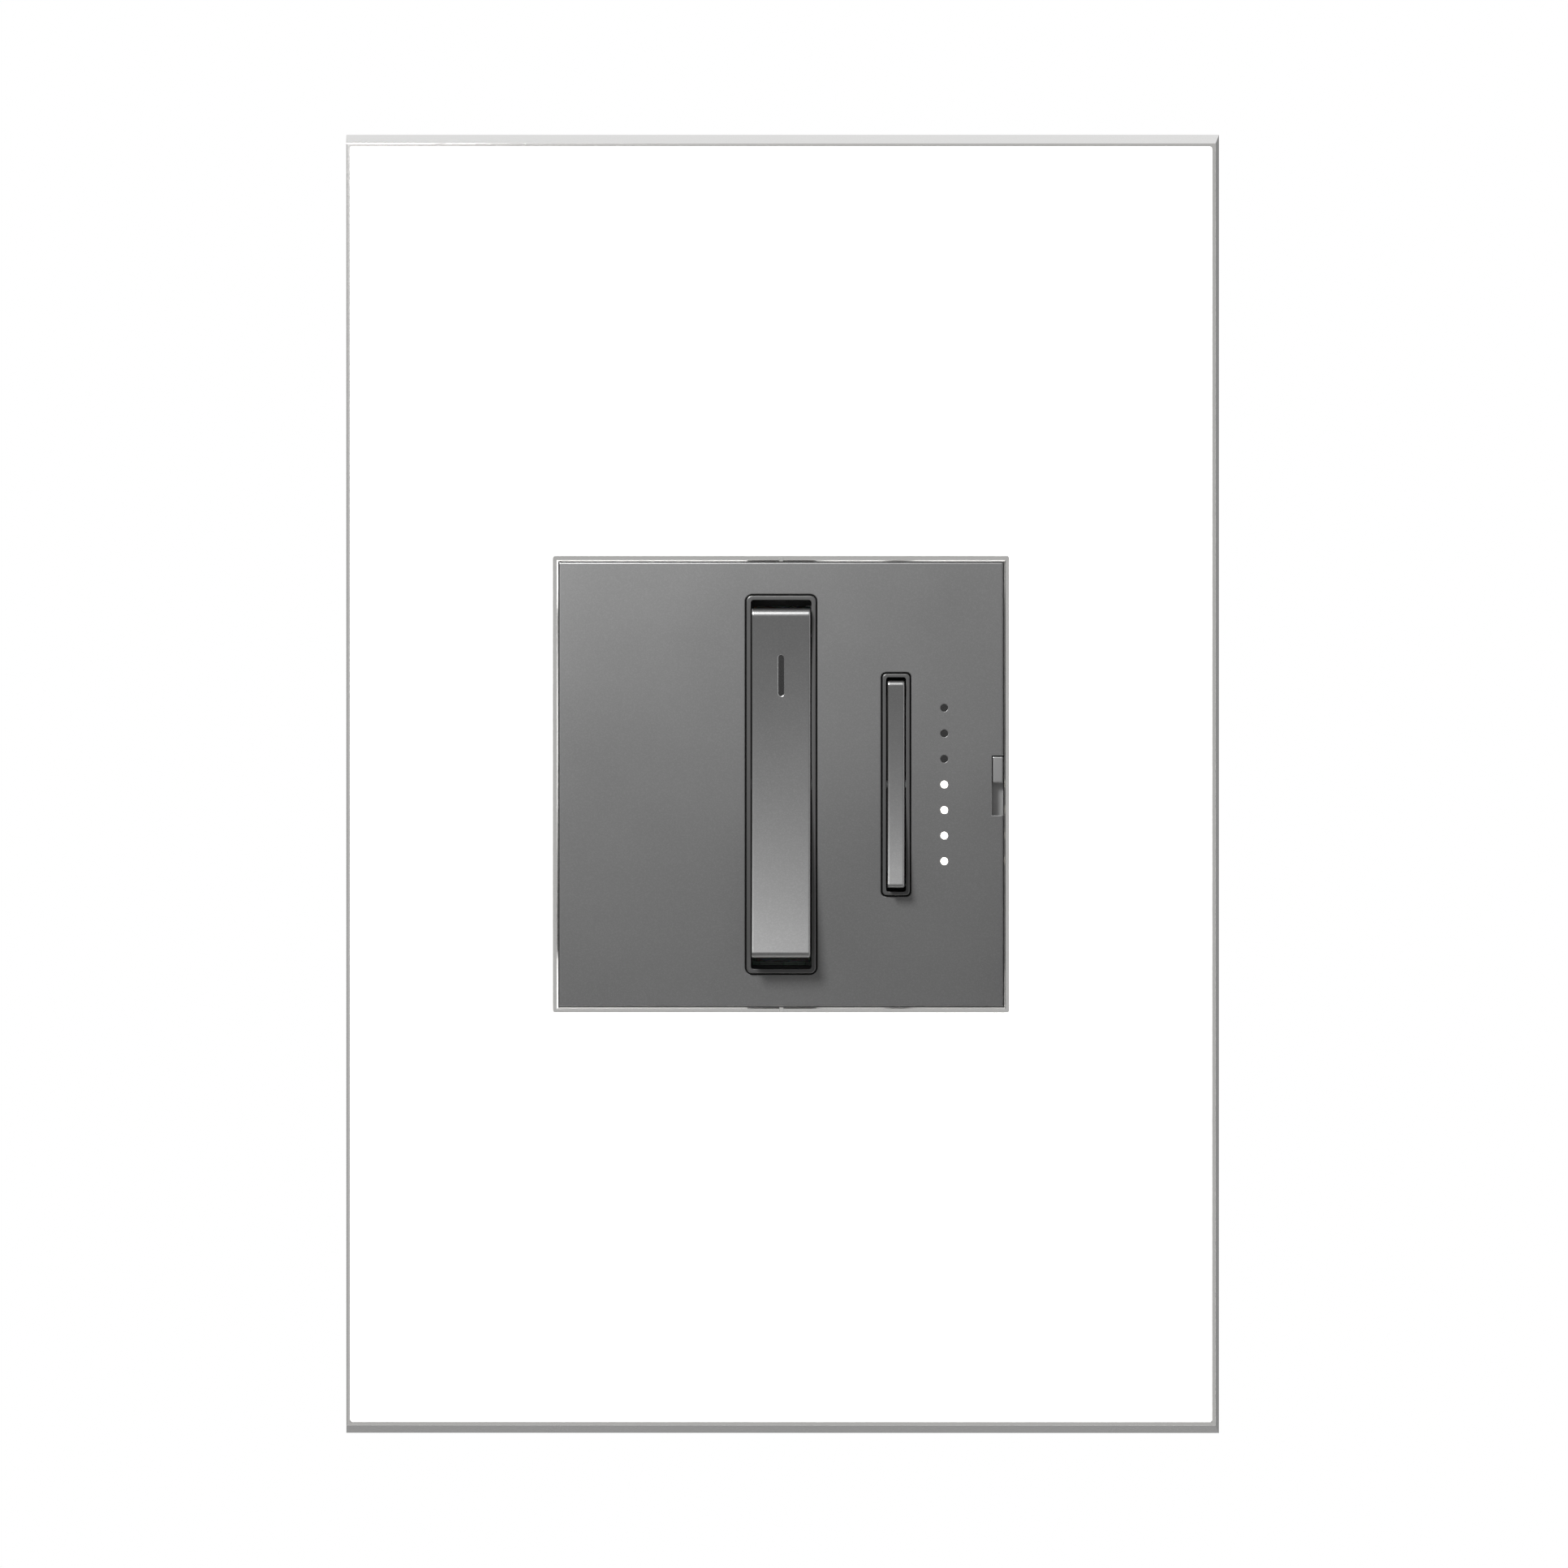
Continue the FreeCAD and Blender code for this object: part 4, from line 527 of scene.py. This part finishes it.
# ---------------------------------------------------------------- boards
# The control board in front of the heat sink and the power board at the back of the housing, both sawn from
# glass-fibre laminate under green solder mask. An insulating sheet keeps the first off the metal.
def laminate():
    """Traces show as a lighter green under the glossy mask, drill pads are tinned, sawn edges are straw.

    The glass cloth has a thread every half millimetre, and is drawn coarser so that it shows.
    """
    pad_pitch_mm = 2.54
    patch_mm = 7
    trace_mm = 12
    weave_mm = 2.2
    weave_share = 0.3
    material, tree, shader = new_material("solder_masked_glass_laminate", IOR=1.55)
    coords = add(tree, "ShaderNodeTexCoord").outputs["Object"]
    flat = add(tree, "ShaderNodeMapping", {"Vector": coords, "Scale": (1.0, 0.0, 1.0)})
    grid = add(tree, "ShaderNodeTexVoronoi",
               {"Vector": flat, "Scale": 1 / (pad_pitch_mm * MM), "Randomness": 0.0})
    dots = add(tree, "ShaderNodeMapRange", [grid.outputs["Distance"], 0.26, 0.23, 0.0, 1.0])
    patch = add(tree, "ShaderNodeTexNoise", {"Vector": flat, "Scale": 1 / (patch_mm * MM)})
    used = add(tree, "ShaderNodeMath", [patch, 0.54], operation="GREATER_THAN")
    pads = add(tree, "ShaderNodeMath", [dots, used], operation="MULTIPLY")
    bands = add(tree, "ShaderNodeTexWave",
                {"Vector": flat, "Scale": 1 / (trace_mm * MM), "Distortion": 6.0, "Detail": 0.0})
    traces = add(tree, "ShaderNodeMapRange", [bands.outputs["Fac"], 0.50, 0.56, 0.0, 1.0])
    weave = add(tree, "ShaderNodeTexBrick",
                {"Vector": flat, "Scale": 1 / (weave_mm * MM), "Mortar Size": 0.03})
    mask = add(tree, "ShaderNodeMix", {0: traces, 6: linear("#0d4a26"), 7: linear("#1f6e3c")},
               data_type="RGBA")
    face = add(tree, "ShaderNodeMix", {0: pads, 6: mask.outputs[2], 7: linear("#c9cbcc")}, data_type="RGBA")
    way = add(tree, "ShaderNodeSeparateXYZ", [add(tree, "ShaderNodeNewGeometry").outputs["Normal"]])
    level = add(tree, "ShaderNodeMath", [way.outputs[1]], operation="ABSOLUTE")
    sawn = add(tree, "ShaderNodeMath", [level, 0.5], operation="LESS_THAN")
    whole = add(tree, "ShaderNodeMix", {0: sawn, 6: face.outputs[2], 7: linear("#b5a878")}, data_type="RGBA")
    tree.links.new(whole.outputs[2], shader.inputs["Base Color"])
    tree.links.new(pads.outputs[0], shader.inputs["Metallic"])
    gloss = add(tree, "ShaderNodeMapRange", [patch, 0.3, 0.7, 0.24, 0.40])
    tree.links.new(gloss.outputs[0], shader.inputs["Roughness"])
    height = add(tree, "ShaderNodeMath", [weave.outputs["Fac"], traces, weave_share],
                 operation="MULTIPLY_ADD")
    bump = add(tree, "ShaderNodeBump", {"Strength": 0.8, "Distance": 0.02 * MM, "Height": height})
    tree.links.new(bump.outputs[0], shader.inputs["Normal"])
    return material


dress(laminate(), "control_board", "power_board")
# Vulcanised fibre is a dull grey card with a felted surface.
fish_paper = moulded("vulcanised_fibre_sheet", "#6d7277", "#646a70", "#8a8f94", roughness=0.8, grain_mm=0.35,
                     depth_mm=0.020, flow_mm=4.0, IOR=1.5)
dress(fish_paper, "insulating_sheet")


# ---------------------------------------------------------------- electronic parts
# Everything soldered to the two boards, each in the skin that such a part has, and the black mouldings of the
# housing and the light guide, which are of the same nylon as the board link.
# Bright tin mirrors almost like chrome, a little warmer.
tin = plated("bright_tinned_steel", "#c8c9c8", "#d2d2d0", "#e2e2e0", roughness=0.22, crystal_mm=0.3,
             edge_mm=0.08)
dress(tin, "crystal", "fuse_caps")
# Fired ceramic is a satin brown, paler where the dicing saw has chipped its edges.
ceramic = moulded("fired_ceramic_chip", "#9a7448", "#8d683f", "#b89a74", roughness=0.45, grain_mm=0.05,
                  depth_mm=0.004, flow_mm=1.0, IOR=1.7)
dress(ceramic, "chip_capacitors")
# Glass fibres near the skin of the black nylon make it look slightly grey and rough.
black_nylon = moulded("glass_filled_black_nylon", "#17181a", "#1f2022", "#3b3d40", roughness=0.5,
                      grain_mm=0.22, depth_mm=0.008, IOR=1.53)
dress(black_nylon, "board_link_header", "rear_housing", "light_guide_block")
# Rolled brass is a soft yellow with fine lines along it.
brass = plated("half_hard_rolled_brass", "#c2a05a", "#b8934c", "#dcc080", roughness=0.30, scratch_mm=0.2,
               edge_mm=0.10)
dress(brass, "board_link_pins", "terminal_plates")
# Sintered ferrite is charcoal grey and grainy like fine stone.
ferrite = moulded("sintered_ferrite", "#3a3a3c", "#2e2e31", "#626266", roughness=0.62, grain_mm=0.10,
                  depth_mm=0.012, flow_mm=2.5, IOR=1.9)
dress(ferrite, "choke_core")
# Dipped epoxy is glossy and a little lumpy, with a wet-looking coat over its colour.
film_skin = moulded("dipped_red_epoxy", "#8e2c22", "#7f251d", "#a3473b", roughness=0.32, grain_mm=0.9,
                    depth_mm=0.020, flow_mm=3.0, IOR=1.55, Coat_Weight=0.3)
dress(film_skin, "film_capacitor")
blue_skin = moulded("dipped_blue_epoxy", "#1f4f86", "#1a4577", "#3f6ea3", roughness=0.34, grain_mm=0.8,
                    depth_mm=0.020, flow_mm=3.0, IOR=1.55, Coat_Weight=0.3)
dress(blue_skin, "varistor")
# Shrunk vinyl is smooth and dark, with the slight ripple of a sleeve pulled tight.
sleeve = moulded("shrunk_vinyl_sleeve", "#22262c", "#2a2f36", "#454b54", roughness=0.30, grain_mm=0.6,
                 depth_mm=0.010, flow_mm=4.0, IOR=1.53)
dress(sleeve, "bulk_capacitor")
# Diffused epoxy is milky, so that the diodes look lit through.
led_epoxy = moulded("cast_diffused_epoxy", "#dcdcc8", "#d0d0ba", "#e8e8da", roughness=0.35, grain_mm=0.06,
                    depth_mm=0.002, flow_mm=0.8, IOR=1.55, Subsurface_Weight=0.3,
                    Subsurface_Scale=0.2 * MM)
dress(led_epoxy, "level_leds", "locator_led")


def enamelled_wire(centre_x, centre_z, turns):
    """Copper under clear red-brown enamel, wound side by side round a ring that stands on this centre."""
    dust_mm = 1.5
    wire_relief = 0.25 * MM
    material, tree, shader = new_material("enamelled_copper_wire", Metallic=1.0, Coat_Weight=0.6)
    coords = add(tree, "ShaderNodeTexCoord").outputs["Object"]
    middle = add(tree, "ShaderNodeMapping", {"Vector": coords, "Location": (-centre_x, 0.0, -centre_z)})
    spot = add(tree, "ShaderNodeSeparateXYZ", [middle]).outputs
    angle = add(tree, "ShaderNodeMath", [spot[0], spot[2]], operation="ARCTAN2")
    along = add(tree, "ShaderNodeMath", [angle, float(turns)], operation="MULTIPLY")
    wire = add(tree, "ShaderNodeMath", [along], operation="COSINE")
    dust = add(tree, "ShaderNodeTexNoise", {"Vector": coords, "Scale": 1 / (dust_mm * MM)})
    tone = add(tree, "ShaderNodeMix", {0: dust, 6: linear("#8c4a2a"), 7: linear("#b0653a")},
               data_type="RGBA")
    tree.links.new(tone.outputs[2], shader.inputs["Base Color"])
    gloss = add(tree, "ShaderNodeMapRange", [dust, 0.3, 0.7, 0.22, 0.40])
    tree.links.new(gloss.outputs[0], shader.inputs["Roughness"])
    bump = add(tree, "ShaderNodeBump", {"Strength": 1.0, "Distance": wire_relief, "Height": wire})
    tree.links.new(bump.outputs[0], shader.inputs["Normal"])
    return material


ring_low, ring_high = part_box("choke_core")
ring_x = (ring_low.x + ring_high.x) / 2
ring_z = (ring_low.z + ring_high.z) / 2
dress(enamelled_wire(ring_x, ring_z, turns=46), "choke_winding")


def clear(name, colour, tint, roughness, dust_mm, **settings):
    """Clear glass or plastic with a faint haze that changes its gloss, and its real thickness behind it."""
    material, tree, shader = new_material(name, **settings)
    coords = add(tree, "ShaderNodeTexCoord").outputs["Object"]
    haze = add(tree, "ShaderNodeTexNoise", {"Vector": coords, "Scale": 1 / (dust_mm * MM), "Detail": 3.0})
    tone = add(tree, "ShaderNodeMix", {0: haze, 6: linear(colour), 7: linear(tint)}, data_type="RGBA")
    tree.links.new(tone.outputs[2], shader.inputs["Base Color"])
    gloss = add(tree, "ShaderNodeMapRange", [haze, 0.3, 0.7, roughness, roughness + 0.10])
    tree.links.new(gloss.outputs[0], shader.inputs["Roughness"])
    bump = add(tree, "ShaderNodeBump", {"Strength": 0.3, "Distance": 0.003 * MM, "Height": haze})
    tree.links.new(bump.outputs[0], shader.inputs["Normal"])
    return material


# Drawn glass is all but clear, with a faint green in its thickness.
glass = clear("drawn_soda_glass", "#f4f8f5", "#e6efe9", roughness=0.02, dust_mm=1.2, IOR=1.52,
              Transmission_Weight=1.0)
dress(glass, "fuse")


# ---------------------------------------------------------------- housing screws
# Four long self-tapping screws of zinc-plated steel, in deep seats at the corners of the black housing. They
# hold it to the heat sink.
cross_screws("housing_screw_set", "housing_screws",
             [(x * MM, 33.0 * MM, z * MM) for x in (-17.6, 17.6) for z in (-28.4, 28.4)],
             [0.3, 1.0, 0.7, 1.4],
             head_mm=2.3, height_mm=1.6, shank_mm=1.22, length_mm=32.8, pitch_mm=0.8, recess_mm=2.4)


# ---------------------------------------------------------------- terminals
# Each of the four terminals clamps a wire between a brass plate and a zinc-plated pressure plate. The screw
# tells the wire by its finish: black for line, brass for the switched wires, silver for neutral.
# Pressed and plated: greyer than the screws, with fine lines from the strip.
clamp_steel = plated("zinc_plated_clamp_steel", "#a3a7ab", "#b3b6ba", "#d0d2d4", roughness=0.33,
                     scratch_mm=0.25, edge_mm=0.10)
dress(clamp_steel, "terminal_clamps")
# Black oxide is a thin skin, so bare steel shines through at the edges.
black_oxide = plated("black_oxide_steel", "#2c2d2f", "#35363a", "#6b6d70", roughness=0.38, crystal_mm=0.3,
                     edge_mm=0.08)
# Turned brass is yellower and brighter than the rolled plates.
brass_screw = plated("turned_brass", "#c4a25a", "#b9954d", "#e0c686", roughness=0.26, crystal_mm=0.3,
                     edge_mm=0.08)
for wire, side, up, metal, slot, spin in (("line", -1, 1, black_oxide, "screw_black", 0.9),
                                          ("traveler", -1, -1, brass_screw, "screw_brass", 0.2),
                                          ("load", 1, 1, brass_screw, "screw_brass", 1.3),
                                          ("neutral", 1, -1, screw_silver, "screw_silver", 0.6)):
    terminal_seat = (side * 21.3 * MM, 20 * MM, up * 16 * MM)
    terminal_screw = screws(wire + "_screw", [terminal_seat], (side, 0, 0), [spin], metal,
                            head_radius=3.6 * MM, head_height=1.62 * MM, flange_radius=3.3 * MM,
                            flange_height=0.05 * MM, shank_length=5.75 * MM, neck_radius=1.5 * MM,
                            neck_length=0.4 * MM, recess_length=5.6 * MM, recess_across=3.4 * MM,
                            recess_width=0.8 * MM, recess_depth=0.95 * MM, head_sides=48, **thread_6_32)
    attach(terminal_screw, "base")
    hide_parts(wire + "_terminal_screw")


# ---------------------------------------------------------------- inner frame and contacts
# A moulded chassis behind the bezel holds the ground steel pins that the paddle and the rocker turn on.
# Domes pressed in silicone push both back, and the service switch makes contact through a small bridge.
# Black polycarbonate is a little glossier than the nylon of the housing.
chassis = moulded("moulded_black_polycarbonate", "#1d1e20", "#26272a", "#3f4145", roughness=0.46,
                  grain_mm=0.2, depth_mm=0.006, IOR=1.58)
dress(chassis, "control_chassis")
# Ground steel is bright, with only a slight softness in what it mirrors.
pin_steel = plated("centreless_ground_steel", "#b4b5b6", "#bdbebe", "#dcdcdc", roughness=0.20,
                   crystal_mm=0.2, edge_mm=0.06)
dress(pin_steel, "paddle_pivot_pin", "dim_rocker_pivot_pin")
# Silicone is matt and milky, and light passes into it.
silicone = moulded("pressed_silicone_rubber", "#c9cccd", "#bcc0c2", "#d9dbdc", roughness=0.6, grain_mm=0.3,
                   depth_mm=0.008, flow_mm=2.0, IOR=1.41, Subsurface_Weight=0.5,
                   Subsurface_Scale=0.6 * MM)
dress(silicone, "paddle_return_domes", "rocker_return_domes")
# Silver plate is pale and warm beside the zinc.
silver = plated("silver_plated_copper", "#cfcdc7", "#c2bfb8", "#e6e4df", roughness=0.24, crystal_mm=0.3,
                edge_mm=0.06)
dress(silver, "service_contact_bridge", "service_contact_posts")


# ---------------------------------------------------------------- front bezel
# The square face of the dimmer, moulded in metallic grey polycarbonate with fine aluminium flakes and a
# satin, spark-eroded front. Wedges on its skirt snap into the mounting frame.
# The flakes make it shade like a dull metal: paler towards the close light, with a bright rounded rim.
face_grey = moulded("flake_filled_grey_polycarbonate", "#606060", "#626262", "#8c8c8c", roughness=0.42,
                    grain_mm=0.12, depth_mm=0.001, edge_mm=0.12, fleck="#6c6c6c", uneven=0.01, IOR=1.58,
                    Metallic=1.0)
dress(face_grey, "front_bezel")


# ---------------------------------------------------------------- collars of the paddle and the level rocker
# Narrow frames moulded in a darker grey polycarbonate and set into the bezel, round the openings of the
# paddle and the rocker.
# The darker resin draws a crisp line round both, with only a faint sheen.
collar = moulded("dark_grey_polycarbonate", "#393939", "#3c3c3c", "#585858", roughness=0.38, grain_mm=0.12,
                 depth_mm=0.001, edge_mm=0.08, uneven=0.01, IOR=1.58, Metallic=0.6)
dress(collar, "paddle_surround", "rocker_surround")


# ---------------------------------------------------------------- paddle, level rocker and service slide
# The moving pieces. The paddle and the rocker are moulded in the bezel's flaked resin and turn on their pins,
# and the small slide in the notch is acetal, which runs without grease.
# A finer face, rubbed by fingers, is glossier than the bezel's, so that the hollow shades from dark to light.
paddle_grey = moulded("rubbed_flake_filled_polycarbonate", "#656565", "#676767", "#a3a3a3", roughness=0.36,
                      grain_mm=0.10, depth_mm=0.0008, edge_mm=0.15, fleck="#727272", uneven=0.01, IOR=1.58,
                      Metallic=1.0)
dress(paddle_grey, "paddle", "dim_rocker")
# Acetal has a slippery, even sheen without flakes. Its grey is painted paler than the face's as painted
# light, so that the knob in the shaded notch looks brighter than the face.
slide_grey_painted_light = moulded("polished_grey_acetal", "#757575", "#787878", "#a3a3a3", roughness=0.40, grain_mm=0.10,
                     depth_mm=0.0008, edge_mm=0.10, uneven=0.01, IOR=1.48, Metallic=0.9)
dress(slide_grey_painted_light, "service_slide")


# ---------------------------------------------------------------- lenses
# Light pipes of smoked acrylic, cast clear and cut flush: a narrow one in the paddle, and seven round ones
# beside the rocker, of which four are on.
# Smoked acrylic is dark and glassy, and shows a little of its depth.
smoked = clear("smoked_cast_acrylic", "#3c3c3c", "#343434", roughness=0.10, dust_mm=0.8, IOR=1.49,
               Transmission_Weight=0.85)
dress(smoked, "paddle_light_pipe", "level_lens_5", "level_lens_6", "level_lens_7")
# A lit pipe is white out to its rim.
glowing = clear("glowing_cast_acrylic", "#f4f2ec", "#e8e6e0", roughness=0.15, dust_mm=0.8, IOR=1.49,
                Emission_Color=linear("#fff6e8"), Emission_Strength=1.05)
dress(glowing, "level_lens_1", "level_lens_2", "level_lens_3", "level_lens_4")


# ---------------------------------------------------------------- wall plate base
# A drafted frame of moulded resin, plated in warm satin nickel. It snaps on the mounting frame, and shows as
# the sides of the plate and as the ledge round the panel and inside the opening.
# Satin nickel mirrors the dome softly, so that each side and each ledge has its own tone.
nickel = plated("satin_nickel_plated_resin", "#e1e0de", "#e3e2e0", "#ebeae8", roughness=0.13,
                crystal_mm=0.14, edge_mm=0.04, uneven=0.02, relief_mm=0.0005)
dress(nickel, "wall_plate_base")


# ---------------------------------------------------------------- wall plate panel
# The front of the plate, moulded in white polycarbonate and snapped on the base.
# A polished mould leaves it glossy and clean white, with the slightest waviness.
white = moulded("gloss_white_polycarbonate", "#f7f7f6", "#f3f3f2", "#fbfbfa", roughness=0.22, grain_mm=0.5,
                depth_mm=0.001, edge_mm=0.12, IOR=1.58)
dress(white, "wall_plate_panel")
